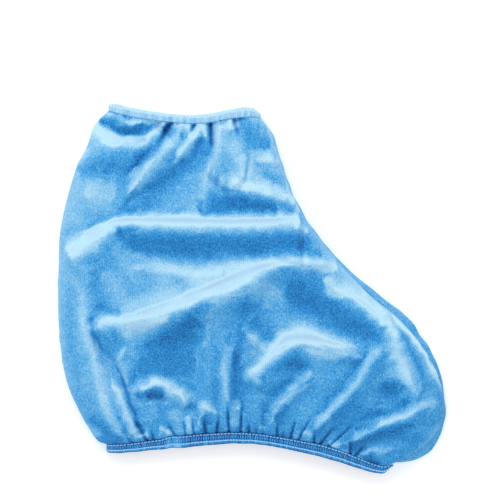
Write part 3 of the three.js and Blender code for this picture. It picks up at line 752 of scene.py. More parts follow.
def as_columns(ends: Ends) -> Ends:
    """The values of each row, ready to be read at many places across it."""
    return {name: value[:, None] for name, value in ends.items()}


def grid_normals(points: np.ndarray) -> np.ndarray:
    """Outward unit normals of a grid of points.

    Args:
        points: The grid, whose columns run across and whose rows run up.

    Returns:
        A normal for each point.
    """
    along = np.gradient(points, axis=0)
    over = np.gradient(points, axis=1)
    normal = np.cross(over, along)
    return normal / np.maximum(np.linalg.norm(normal, axis=-1, keepdims=True), 1e-9)


def panel_normals(points: np.ndarray, way: int) -> np.ndarray:
    """Outward unit normals of a panel, which lie level along its two seams.

    Args:
        points: The panel's points, whose first and last columns are its seams.
        way: 1 where the first column is the back seam, and -1 where it is the front seam.

    Returns:
        A normal for each point.
    """
    normal = grid_normals(points)
    along = np.gradient(points, axis=0)
    for column, side in ((0, way), (-1, -way)):
        level = [-along[:, column, 1], along[:, column, 0], np.zeros(len(points))]
        flat = np.stack(level, axis=-1) * side
        normal[:, column] = flat / np.linalg.norm(flat, axis=-1, keepdims=True)
    return normal


# ---------------------------------------------------------------------------
# Meshes and nodes
# ---------------------------------------------------------------------------


def new_object(name: str, vertices: np.ndarray, faces: list[tuple[int, ...]]) -> bpy.types.Object:
    """Makes a smooth-shaded mesh object at the origin.

    Args:
        name: The piece's name.
        vertices: Its points, in millimetres.
        faces: Its faces as indices of points, turned outwards.

    Returns:
        The object, which is in the scene.
    """
    mesh = bpy.data.meshes.new(name)
    mesh.from_pydata((vertices * MM).tolist(), [], faces)
    mesh.validate()
    mesh.shade_smooth()
    made = bpy.data.objects.new(name, mesh)
    bpy.context.scene.collection.objects.link(made)
    return made


def add_attribute(piece: bpy.types.Object, name: str, values: np.ndarray) -> None:
    """Stores one number for each point of a piece."""
    layer = piece.data.attributes.new(name, "FLOAT", "POINT")
    layer.data.foreach_set("value", values.astype(np.float32).ravel())


def quads(*corners: np.ndarray) -> list[list[int]]:
    """Faces from four grids that hold the index of each face's corners."""
    return np.stack(corners, axis=-1).reshape(-1, 4).tolist()


def shell(name: str, outer: np.ndarray, inner: np.ndarray) -> tuple[bpy.types.Object, int]:
    """Closes a cloth wall between an outer grid and an inner grid of half as many rows and columns.

    Args:
        name: The piece's name.
        outer: Points of the face side, with an odd number of rows and of columns.
        inner: Points of the wrong side.

    Returns:
        The object and the number of its faces that belong to the face side and the edges.
    """
    (rows, columns), (half_rows, half_columns) = outer.shape[:2], inner.shape[:2]
    a = np.arange(rows * columns).reshape(rows, columns)
    b = rows * columns + np.arange(half_rows * half_columns).reshape(half_rows, half_columns)
    face_side = quads(a[:-1, :-1], a[:-1, 1:], a[1:, 1:], a[1:, :-1])
    wrong_side = quads(b[:-1, :-1], b[1:, :-1], b[1:, 1:], b[:-1, 1:])
    edges = []
    borders = ((a[0], b[0], -1), (a[-1], b[-1], 1), (a[:, 0], b[:, 0], 1), (a[:, -1], b[:, -1], -1))
    for line, inside, turn in borders:
        for k in range(len(inside) - 1):
            loop = (*line[2 * k : 2 * k + 3], inside[k + 1], inside[k])
            edges.append(tuple(int(v) for v in loop[::turn]))
    vertices = np.concatenate([outer.reshape(-1, 3), inner.reshape(-1, 3)])
    return new_object(name, vertices, face_side + edges + wrong_side), len(face_side) + len(edges)


def linear(code: str) -> tuple[float, float, float, float]:
    """Turns an sRGB hex code into the linear colour that a socket takes."""
    values = [int(code[k : k + 2], 16) / 255 for k in (1, 3, 5)]
    return (*(v / 12.92 if v <= 0.04045 else ((v + 0.055) / 1.055) ** 2.4 for v in values), 1.0)


def add_node(
    tree: bpy.types.NodeTree, kind: str, inputs: dict | None = None, **settings: object
) -> bpy.types.Node:
    """Adds a node with its settings and links.

    Args:
        tree: The tree that takes the node.
        kind: The node's type.
        inputs: For each input by its name or number, a value, a socket to link from, or a node
            whose first output is linked.
        settings: The node's own properties.

    Returns:
        The node.
    """
    made = tree.nodes.new(kind)
    for key, value in settings.items():
        setattr(made, key, value)
    for key, value in (inputs or {}).items():
        if isinstance(value, bpy.types.Node):
            value = value.outputs[0]
        if isinstance(value, bpy.types.NodeSocket):
            tree.links.new(value, made.inputs[key])
        else:
            made.inputs[key].default_value = value
    return made


def new_material(name: str) -> tuple[bpy.types.Material, bpy.types.NodeTree]:
    """Makes a material without nodes.

    Args:
        name: The material's name.

    Returns:
        The material and its node tree.
    """
    made = bpy.data.materials.new(name)
    made.use_nodes = True
    made.node_tree.nodes.clear()
    return made, made.node_tree


# ---------------------------------------------------------------------------
# Finishes
# ---------------------------------------------------------------------------


@dataclass(frozen=True)
class Velour:
    """Stretch velour: a knit ground under an upright cut pile.

    Each point of the cloth carries a tone number that picks its colour from deep to pale. It holds
    the cloth's own tone and painted light: paler where the cloth tilts up the leg towards the key
    light, darker where it tilts away, and painted highlights and painted shade laid on in strokes.
    """

    pile_mm: float = 1.15  # tufts; drawn coarser than real pile, so that they show
    wale_mm: float = 1.5  # columns of the knit ground; coarser than real too
    patch_mm: float = 24  # where handling has brushed the pile one way or the other
    streak_mm: float = 5  # narrow crushes that run across the leg
    grain: float = 0.9
    patches: float = 0.22
    streaks: float = 0.22
    wales: float = 0.03
    sheen: float = 0.2

    # Colours from deep to pale, along which the tone number and its painted light run; past the
    # palest, the core of a painted highlight turns a little greyer.
    TONES = (
        (-0.5, "#194F8C"),
        (-0.15, "#247ABD"),
        (0.05, "#318ECF"),
        (0.25, "#4DA1DB"),
        (0.45, "#74B6E2"),
        (0.68, "#A0CEEA"),
        (0.88, "#BBE2F4"),
        (1.05, "#B0D6EE"),
        (1.3, "#A6C9E4"),
    )

    def patterns(
        self, tree: bpy.types.NodeTree, place: bpy.types.NodeSocket
    ) -> list[bpy.types.Node]:
        """Adds the irregular patterns of the pile, each of which varies about 0.

        Args:
            tree: The tree that takes them.
            place: The Object coordinates in it.

        Returns:
            The tufts, the brushed patches and the narrow crushes.
        """
        made = []
        for size_mm, detail, stretch in (
            (self.pile_mm, 2.0, (1, 1.25, 1)),
            (self.patch_mm, 3.0, (1, 1, 1)),
            (self.streak_mm, 2.0, (7, 1, 1)),
        ):
            scale = tuple(1 / (size_mm * MM * value) for value in stretch)
            mapped = add_node(tree, "ShaderNodeMapping", {"Vector": place, "Scale": scale})
            inputs = {"Vector": mapped, "Scale": 1.0, "Detail": detail, "Roughness": 0.6}
            noise = add_node(tree, "ShaderNodeTexNoise", inputs)
            about_0 = {0: noise, 1: 0.5}
            made.append(add_node(tree, "ShaderNodeMath", about_0, operation="SUBTRACT"))
        return made

    def colour(self, tree: bpy.types.NodeTree, tone_and_light: bpy.types.Node) -> bpy.types.Node:
        """Adds the ramp of the tones.

        Args:
            tree: The tree that takes it.
            tone_and_light: The tone number with its painted light and the pile's patterns.

        Returns:
            The ramp.
        """
        low, high = self.TONES[0][0], self.TONES[-1][0]
        above = add_node(tree, "ShaderNodeMath", {0: tone_and_light, 1: low}, operation="SUBTRACT")
        inputs = {0: above, 1: 1 / (high - low)}
        share = add_node(tree, "ShaderNodeMath", inputs, operation="MULTIPLY")
        ramp = add_node(tree, "ShaderNodeValToRGB", {"Fac": share})
        stops = ramp.color_ramp.elements
        stops[0].color, stops[1].color = linear(self.TONES[0][1]), linear(self.TONES[-1][1])
        for position, tone in self.TONES[1:-1]:
            stops.new((position - low) / (high - low)).color = linear(tone)
        return ramp

    def material(self) -> bpy.types.Material:
        """Builds the node tree.

        Returns:
            The material.
        """
        made, tree = new_material("stretch_velour")
        place = add_node(tree, "ShaderNodeTexCoord").outputs["Object"]
        tone_and_painted_light = add_node(tree, "ShaderNodeAttribute", attribute_name="tone_and_painted_light").outputs["Fac"]
        split = add_node(tree, "ShaderNodeSeparateXYZ", {"Vector": place})
        turns = {0: split, 1: 2 * math.pi / (self.wale_mm * MM)}
        turn = add_node(tree, "ShaderNodeMath", turns, operation="MULTIPLY")
        wales = add_node(tree, "ShaderNodeMath", {0: turn}, operation="SINE")
        tufts, patches, streaks = self.patterns(tree, place)
        # Tufts show most in the deep and middle tones, and least in the painted highlights.
        fall = {"Value": tone_and_painted_light, "From Min": 0.1, "From Max": 0.9, "To Min": 1.55, "To Max": 0.4}
        amount = add_node(tree, "ShaderNodeMapRange", fall)
        tufted = add_node(tree, "ShaderNodeMath", {0: tufts, 1: amount}, operation="MULTIPLY")
        tone_and_light = tone_and_painted_light
        for pattern, share in (
            (tufted, self.grain),
            (patches, self.patches),
            (streaks, self.streaks),
            (wales, self.wales),
        ):
            inputs = {0: pattern, 1: share, 2: tone_and_light}
            tone_and_light = add_node(tree, "ShaderNodeMath", inputs, operation="MULTIPLY_ADD")
        inputs = {0: wales, 1: 0.1, 2: tufts}
        relief = add_node(tree, "ShaderNodeMath", inputs, operation="MULTIPLY_ADD")
        inputs = {"Height": relief, "Strength": 0.5, "Distance": 0.6 * MM}
        surface = {
            "Base Color": self.colour(tree, tone_and_light),
            "Normal": add_node(tree, "ShaderNodeBump", inputs),
            "Roughness": 0.85,
            "Specular IOR Level": 0.15,
            "Sheen Weight": self.sheen,
            "Sheen Roughness": 0.4,
            "Sheen Tint": linear("#DCEFFB"),
        }
        shader = add_node(tree, "ShaderNodeBsdfPrincipled", surface)
        add_node(tree, "ShaderNodeOutputMaterial", {"Surface": shader})
        return made


@dataclass(frozen=True)
class KnitBacking:
    """The velour's wrong side: a plain fine jersey, matt and without pile."""

    low: str = "#3C86BE"  # between the loops
    high: str = "#5B9FD0"  # on the loops
    wale_mm: float = 1.5  # columns of loops; drawn coarser than real jersey, so that they show
    course_mm: float = 1.2  # rows of loops; the same

    def material(self) -> bpy.types.Material:
        """Builds the node tree.

        Returns:
            The material.
        """
        made, tree = new_material("knit_backing")
        place = add_node(tree, "ShaderNodeTexCoord").outputs["Object"]
        split = add_node(tree, "ShaderNodeSeparateXYZ", {"Vector": place})
        waves = []
        for axis, period in (("X", self.wale_mm), ("Y", self.course_mm)):
            turns = {0: split.outputs[axis], 1: 2 * math.pi / (period * MM)}
            turn = add_node(tree, "ShaderNodeMath", turns, operation="MULTIPLY")
            waves.append(add_node(tree, "ShaderNodeMath", {0: turn}, operation="SINE"))
        loops = add_node(tree, "ShaderNodeMath", dict(enumerate(waves)), operation="MULTIPLY")
        full = {"Value": loops, "From Min": -1.0, "From Max": 1.0, "To Min": 0.0, "To Max": 1.0}
        share = add_node(tree, "ShaderNodeMapRange", full)
        mix = {0: share, 6: linear(self.low), 7: linear(self.high)}
        colour = add_node(tree, "ShaderNodeMix", mix, data_type="RGBA").outputs[2]
        inputs = {"Height": loops, "Strength": 0.4, "Distance": 0.2 * MM}
        surface = {
            "Base Color": colour,
            "Normal": add_node(tree, "ShaderNodeBump", inputs),
            "Roughness": 0.9,
            "Specular IOR Level": 0.2,
        }
        shader = add_node(tree, "ShaderNodeBsdfPrincipled", surface)
        add_node(tree, "ShaderNodeOutputMaterial", {"Surface": shader})
        return made


@dataclass(frozen=True)
class SewingThread:
    """Spun polyester thread, a paler blue than the cloth, slightly glossy on its twist."""

    low: str = "#74BDF6"  # between the plies
    high: str = "#A2DAFF"  # on the plies
    twist_mm: float = 0.5  # length of a turn of the plies

    def material(self) -> bpy.types.Material:
        """Builds the node tree.

        Returns:
            The material.
        """
        made, tree = new_material("sewing_thread")
        place = add_node(tree, "ShaderNodeTexCoord").outputs["Object"]
        inputs = {"Vector": place, "Scale": 1 / (self.twist_mm * MM), "Detail": 2.0}
        twist = add_node(tree, "ShaderNodeTexNoise", inputs)
        mix = {0: twist, 6: linear(self.low), 7: linear(self.high)}
        colour = add_node(tree, "ShaderNodeMix", mix, data_type="RGBA").outputs[2]
        surface = {"Base Color": colour, "Roughness": 0.55, "Specular IOR Level": 0.4}
        shader = add_node(tree, "ShaderNodeBsdfPrincipled", surface)
        add_node(tree, "ShaderNodeOutputMaterial", {"Surface": shader})
        return made


@dataclass(frozen=True)
class WhitePaper:
    """Matt white paper, lit so evenly that it glows a little and softens the shadow on it."""

    tone: str = "#F7F7F7"
    glow: float = 0.22

    def material(self) -> bpy.types.Material:
        """Builds the node tree.

        Returns:
            The material.
        """
        made, tree = new_material("white_paper")
        surface = {
            "Base Color": linear(self.tone),
            "Roughness": 0.9,
            "Emission Color": linear("#FFFFFF"),
            "Emission Strength": self.glow,
        }
        shader = add_node(tree, "ShaderNodeBsdfPrincipled", surface)
        add_node(tree, "ShaderNodeOutputMaterial", {"Surface": shader})
        return made


# ---------------------------------------------------------------------------
# Panels
# ---------------------------------------------------------------------------


NAP_LEVEL = 0.3  # tone of cloth that lies flat, before its painted light
TILT_LIGHT_SWING = 0.25  # painted light: how far a tilt up or down the leg, towards or away from the key light, changes the tone at most
TILT_LIGHT_RATE = 2.2  # how soon a tilt does so
TILT_LIGHT_SLANT = 0.5  # how much a tilt along the foot counts beside one up the leg
HIGHLIGHT_KNEE = 0.8  # above this, painted highlights grow paler less and less
HIGHLIGHT_ROOM = 0.22  # how much paler they grow past the knee
RIM_TONE_CAP = 0.3  # cap on the tone under a band, which keeps painted light off the rows it hides
WRONG_NAP = 0.1  # on the wrong side
SEAM_GAP = 0.175  # how far each panel stands off the middle of a seam
SECTION_MM = 15.6  # distance between two cross-sections


def painted_light_of_tilt(points: np.ndarray) -> np.ndarray:
    """Painted light from how the cloth tilts: paler facing up the leg towards the key light.

    Args:
        points: The cloth's points.

    Returns:
        The tone number at each point, with its painted light.
    """
    normals = grid_normals(points)
    tilt = normals[..., 1] - TILT_LIGHT_SLANT * normals[..., 0]
    return NAP_LEVEL + TILT_LIGHT_SWING * np.tanh(TILT_LIGHT_RATE * tilt)


@dataclass
class Panel:
    """A side panel: a closed cloth wall with the pile on its face side."""

    form: BagForm = FORM
    piece: bpy.types.Object | None = field(default=None, init=False)
    face_count: int = field(default=0, init=False)  # faces of the face side and the edges

    def close(self, name: str, outer: np.ndarray, inner: np.ndarray, tone_and_painted_light: np.ndarray) -> None:
        """Makes the wall from its two sides and stores its tone with painted light.

        Args:
            name: The piece's name.
            outer: Points of the face side.
            inner: Points of the wrong side.
            tone_and_painted_light: Tone at each point outside, with its painted light.
        """
        self.piece, self.face_count = shell(name, outer, inner)
        wrong = np.full(inner[..., 0].size, WRONG_NAP)
        add_attribute(self.piece, "tone_and_painted_light", np.concatenate([tone_and_painted_light.ravel(), wrong]))

    def dress(self, face: bpy.types.Material, wrong: bpy.types.Material) -> None:
        """Gives the face side and the wrong side their finishes.

        Args:
            face: Finish of the face side and the edges.
            wrong: Finish of the wrong side.
        """
        mesh = self.piece.data
        mesh.materials.append(face)
        mesh.materials.append(wrong)
        index = np.zeros(len(mesh.polygons), dtype=np.int32)
        index[self.face_count :] = 1
        mesh.polygons.foreach_set("material_index", index)


@dataclass
class NearPanel(Panel):
    """The side panel that lies on top, with the folds and the gathers that its bands draw in."""

    rows: int = 207
    edge_columns: int = 18  # round each rolled edge
    middle_columns: int = 339
    hem: float = 0.8  # strip along a band that stays as the band holds it
    release: Point = (4.4, 3.6)  # width from there to open cloth, at the sole and at the leg
    gathered: Point = (16, 14)  # how far the gathers reach from the sole and from the leg
    creases_mm: float = 0.4
    crease_period: float = 34
    gathers_mm: float = 0.7
    gather_period: float = 7
    fold_blur: float = 0.8  # how far the folds are smoothed, in cells of the grid
    wrong_cells: int = 3  # how far from each point the wrong side looks for the lowest cloth
    wrong_blur: float = 1.6  # how far it is then smoothed, in cells
    wander_mm: float = 0.6  # how far the strokes stray from their lines
    wander_period: float = 13
    halo: float = 0.3  # share of a stroke that spreads out past it
    merging: float = 2.5  # how far two strokes that overlap merge instead of adding up
    slit_painted_shade: float = 0.5  # painted shade: how much darker the cloth is for each millimetre down a slit
    slit_start: float = 0.3  # share of its length up to which a slit keeps its depth
    slits: np.ndarray | None = field(default=None, init=False)  # their height at each point

    def shares(self, width: np.ndarray, back: np.ndarray, front: np.ndarray) -> np.ndarray:
        """Where the columns stand across each row: close together round the rolled edges.

        Args:
            width: Width of each row.
            back: Width of its roll at the back seam.
            front: Width of its roll at the front seam.

        Returns:
            The columns' shares of the way across, one line for each row.
        """
        turn = 1 - np.cos((np.pi / 2) * np.arange(self.edge_columns) / self.edge_columns)
        back_share, front_share = (back / width)[:, None], (front / width)[:, None]
        middle = blend(back_share, 1 - front_share, np.linspace(0, 1, self.middle_columns))
        return np.concatenate([back_share * turn, middle, 1 - front_share * turn[::-1]], axis=1)

    def pleats_at(
        self, row: int, pleats: tuple[Pleat, ...], up: int, x: np.ndarray, y: np.ndarray
    ) -> np.ndarray:
        """Height that the slits at one band take off the cloth.

        Args:
            row: The band's row in the section table.
            pleats: The slits.
            up: 1 where they run up the leg, and -1 where they run down it.
            x: Places along the foot.
            y: Places up the leg.

        Returns:
            The height at each point, which is below 0 in a slit.
        """
        row_number = np.array([float(row)])
        ends = self.form.sections(row_number)
        back, front = ends["back"][0, 0], ends["front"][0, 0]
        total = np.zeros(x.shape)
        for pleat in pleats:
            share = np.array([(pleat.foot - back) / (front - back)])
            foot = self.form.across(ends, row_number, share)[0]
            dx, dy = pleat.lean, pleat.length * up
            t = ((x - foot[0]) * dx + (y - foot[1]) * dy) / (dx * dx + dy * dy)
            near = np.clip(t, 0, 1)
            distance = np.hypot(x - foot[0] - dx * near, y - foot[1] - dy * near)
            fade = 1 - smoothstep((t - self.slit_start) / (1 - self.slit_start))
            total -= pleat.depth * fade * np.exp(-((distance / pleat.width) ** 2))
        return total

    def surface(self) -> tuple[np.ndarray, np.ndarray]:
        """Works out both sides of the cloth.

        Returns:
            Points of the face side and, at half as many rows and columns, of the wrong side.
        """
        form = self.form
        rows = np.linspace(0, LAST, self.rows)
        ends = form.sections(rows)
        width = form.width(ends)
        back = blend(form.back_rounding, form.mouth_rounding, form.mouth(rows))
        share = self.shares(width, back, ends["roll"])
        ends = as_columns(ends)
        rows, width, back = rows[:, None], width[:, None], back[:, None]
        place = form.across(ends, rows, share)
        x, y = place[..., 0], place[..., 1]
        roll = quarter(share * width / back) * quarter((1 - share) * width / ends["roll"])
        foot = form.seam(rows)
        from_bands = (rows * SECTION_MM, (LAST - rows) * SECTION_MM)
        open_cloth, at_bands = 1.0, 0.0
        for distance, release, reach in zip(from_bands, self.release, self.gathered):
            open_cloth = open_cloth * smoothstep((distance - self.hem) / release)
            at_bands = at_bands + np.exp(-((distance / reach) ** 2))
        noise, fine = Noise(SEED), Noise(SEED + 1, 40)
        relief = blurred(sum(fold_height(fold, x, y) for fold in FOLDS), self.fold_blur)
        relief = relief + self.creases_mm * noise.at(x, y, self.crease_period)
        bunched = fine.at(x, 0.3 * y, self.gather_period)
        relief = relief * open_cloth + self.gathers_mm * at_bands * open_cloth * bunched
        slits = self.pleats_at(0, SOLE_PLEATS, 1, x, y)
        slits = slits + self.pleats_at(LAST, LEG_PLEATS, -1, x, y)
        self.slits = slits * roll
        plain = (ends["crown"] - foot) * roll
        outer = raised(place, foot + plain + (relief + slits) * roll)
        outer[:, [0, -1], 2] += SEAM_GAP
        # The wrong side follows the lowest cloth near each point, so that it never cuts through.
        lowest = blurred(lowest_near(relief + slits, self.wrong_cells), self.wrong_blur)
        inner = raised(place, foot + plain + lowest * roll)
        inner -= panel_normals(raised(place, foot + plain), 1) * form.wall
        inner[:, [0, -1], 2] = outer[:, [0, -1], 2]
        return outer, inner[::2, ::2]

    def build(self) -> "NearPanel":
        """Makes the closed cloth wall and stores its tone with painted light and shade.

        Returns:
            The panel.
        """
        outer, inner = self.surface()
        x, y = outer[..., 0], outer[..., 1]
        # Painted light from the tilt, painted highlight and shade strokes, and painted shade down the
        # slits.
        tone_and_painted_light = painted_light_of_tilt(outer) + self.painted_strokes(x, y) + self.slit_painted_shade * self.slits
        # Painted highlights past the knee grow paler less and less.
        turned = HIGHLIGHT_KNEE + HIGHLIGHT_ROOM * np.tanh((tone_and_painted_light - HIGHLIGHT_KNEE) / HIGHLIGHT_ROOM)
        tone_and_painted_light = np.where(tone_and_painted_light > HIGHLIGHT_KNEE, turned, tone_and_painted_light)
        # Greyer painted highlight cores along the crests.
        tone_and_painted_light += sum(fold_height(line, x, y) for line in HIGHLIGHT_CORES)
        for rim in (slice(0, 2), slice(-2, None)):  # the rows under the bands, whose painted light is capped
            tone_and_painted_light[rim] = np.minimum(tone_and_painted_light[rim], RIM_TONE_CAP)
        self.close("near_panel_velour", outer, inner, tone_and_painted_light)
        return self

    def painted_strokes(self, x: np.ndarray, y: np.ndarray) -> np.ndarray:
        """Painted highlights and painted shade, laid on in strokes.

        Args:
            x: Places along the foot.
            y: Places up the leg.

        Returns:
            The change of the tone number at each point. Strokes that cross run into each other.
        """
        drift, wander = Noise(SEED + 2), Noise(SEED + 3)
        x = x + self.wander_mm * drift.at(x, y, self.wander_period)
        y = y + self.wander_mm * wander.at(x, y, self.wander_period)
        highlight_sum, shade_sum = np.zeros(x.shape), np.zeros(x.shape)
        for mark in PAINTED_STROKES:
            amount = fold_height(mark, x, y, self.halo)
            highlight_sum += np.maximum(amount, 0) ** self.merging
            shade_sum += np.maximum(-amount, 0) ** self.merging
        return highlight_sum ** (1 / self.merging) - shade_sum ** (1 / self.merging)


@dataclass
class FarPanel(Panel):
    """The side panel underneath: flat on the surface, rolled up to the seams round its edge."""

    rows: int = 161
    lip_columns: int = 15
    flat_columns: int = 101
    back_columns: int = 14
    puckers_mm: float = 0.25
    pucker_period: float = 19
    pucker_height: float = 3  # height above the surface from which they stand fully
    pucker_start: float = 0.5  # the same from a band, in rows of the section table
    painted_shade: float = 0.1  # painted shade: how much darker it is than the near panel
    toe_shade_off: float = 0.26  # how much paler it is under the toe, against that painted shade
    toe_top: float = -98  # Y at which the toe starts
    toe_fade: float = 12

    def lip(
        self, front: np.ndarray, far: np.ndarray, foot: np.ndarray, radius: np.ndarray
    ) -> np.ndarray:
        """The front edge of each row: from the seam round its outermost point to the surface.

        Args:
            front: The front seam.
            far: The outermost point.
            foot: Height of the seam.
            radius: Radius of the roll.

        Returns:
            The points of each row's edge.
        """
        step = far - front
        peek = np.linalg.norm(step, axis=-1)
        cx, cz = peek - radius, radius
        reach = np.hypot(cx, foot - cz)
        start = np.arctan2(foot - cz, -cx) - np.arccos(np.clip(radius / reach, -1, 1))
        turn = np.linspace(0, 1, self.lip_columns)
        angle = blend(start[:, None], -np.pi / 2, turn)
        out = cx[:, None] + radius[:, None] * np.cos(angle)
        high = cz[:, None] + radius[:, None] * np.sin(angle)
        straight = np.linspace(0, 1, 4)[:-1]
        out = np.concatenate([out[:, :1] * straight, out], axis=1)
        high = np.concatenate([blend(foot[:, None], high[:, :1], straight), high], axis=1)
        share = out / peek[:, None]
        return raised(front[:, None] + step[:, None] * share[..., None], high)

    def outer_rows(self, rows: np.ndarray) -> np.ndarray:
        """Points of the face side, each row from the front seam to the back seam.

        Args:
            rows: The place of each row in the section table.

        Returns:
            The grid of points.
        """
        form = self.form
        ends = form.sections(rows)
        foot = form.seam(rows)
        radius = blend(form.lip_radius, form.mouth_lip_radius, form.mouth(rows))
        lip = self.lip(ends["front"], ends["far"], foot, radius)
        edge = (form.floor_rounding / form.width(ends))[:, None]
        ends, rows = as_columns(ends), rows[:, None]
        flat_share = blend(1 - edge, edge, np.linspace(0, 1, self.flat_columns))
        flat = raised(form.across(ends, rows, flat_share), np.zeros(flat_share.shape))
        angle = (np.pi / 2) * np.arange(self.back_columns)[::-1] / self.back_columns
        back = form.across(ends, rows, edge * (1 - np.cos(angle)))
        back = raised(back, foot[:, None] * (1 - np.sin(angle)))
        return np.concatenate([lip, flat, back], axis=1)

    def build(self) -> "FarPanel":
        """Makes the closed cloth wall and stores its tone with painted shade.

        Returns:
            The panel.
        """
        rows = np.linspace(0, LAST, self.rows)
        outer = self.outer_rows(rows)
        normal = panel_normals(outer, -1)
        normal[outer[..., 2] == 0] = (0, 0, -1)
        inner = outer - normal * self.form.wall
        # Puckers stand only where the cloth is off the surface and away from the bands.
        loose = smoothstep(outer[..., 2] / self.pucker_height)
        for distance in (rows, LAST - rows):
            loose = loose * smoothstep(distance / self.pucker_start)[:, None]
        loose[:, [0, -1]] = 0
        wave = Noise(SEED + 2, 40).at(outer[..., 0], outer[..., 1], self.pucker_period)
        outer = outer + normal * (self.puckers_mm * loose * wave)[..., None]
        for sheet in (outer, inner):
            sheet[:, [0, -1], 2] -= SEAM_GAP
        # Painted shade over the whole far panel, and paler under the toe.
        tone_and_painted_light = painted_light_of_tilt(outer) - self.painted_shade
        tone_and_painted_light += self.toe_shade_off * smoothstep((self.toe_top - outer[..., 1]) / self.toe_fade)
        self.close("far_panel_velour", outer, inner[::2, ::2], tone_and_painted_light)
        return self


# ---------------------------------------------------------------------------
# Bands and stitching
# ---------------------------------------------------------------------------


class Opening(Enum):
    """The two openings, by their row in the section table."""

    SOLE = 0
    LEG = LAST

    @property
    def way(self) -> int:
        """The direction along Y that the band's depth runs in."""
        return -1 if self is Opening.SOLE else 1


@dataclass(frozen=True)
class LipPoint:
    """How the band's cross-section laps over the edge of the panel, at one turn round it."""

    turn: float  # degrees; 90 is the middle of the outer face, and 180 the panel's side
    over: float  # how far it laps over the panel
    up: float  # how far it is raised


STITCH_FLOOR = 0.55  # lowest height of a stitch, so that none sinks into the surface
LIP = (
    LipPoint(0, 0, 0),
    LipPoint(54, 0, 0.3),
    LipPoint(108, 0, 0.5),
    LipPoint(126, 0.5, 0.6),
    LipPoint(144, 0.7, 0.5),
    LipPoint(162, 0, 0.7),
    LipPoint(180, 0, 0),
    LipPoint(360, 0, 0),
)


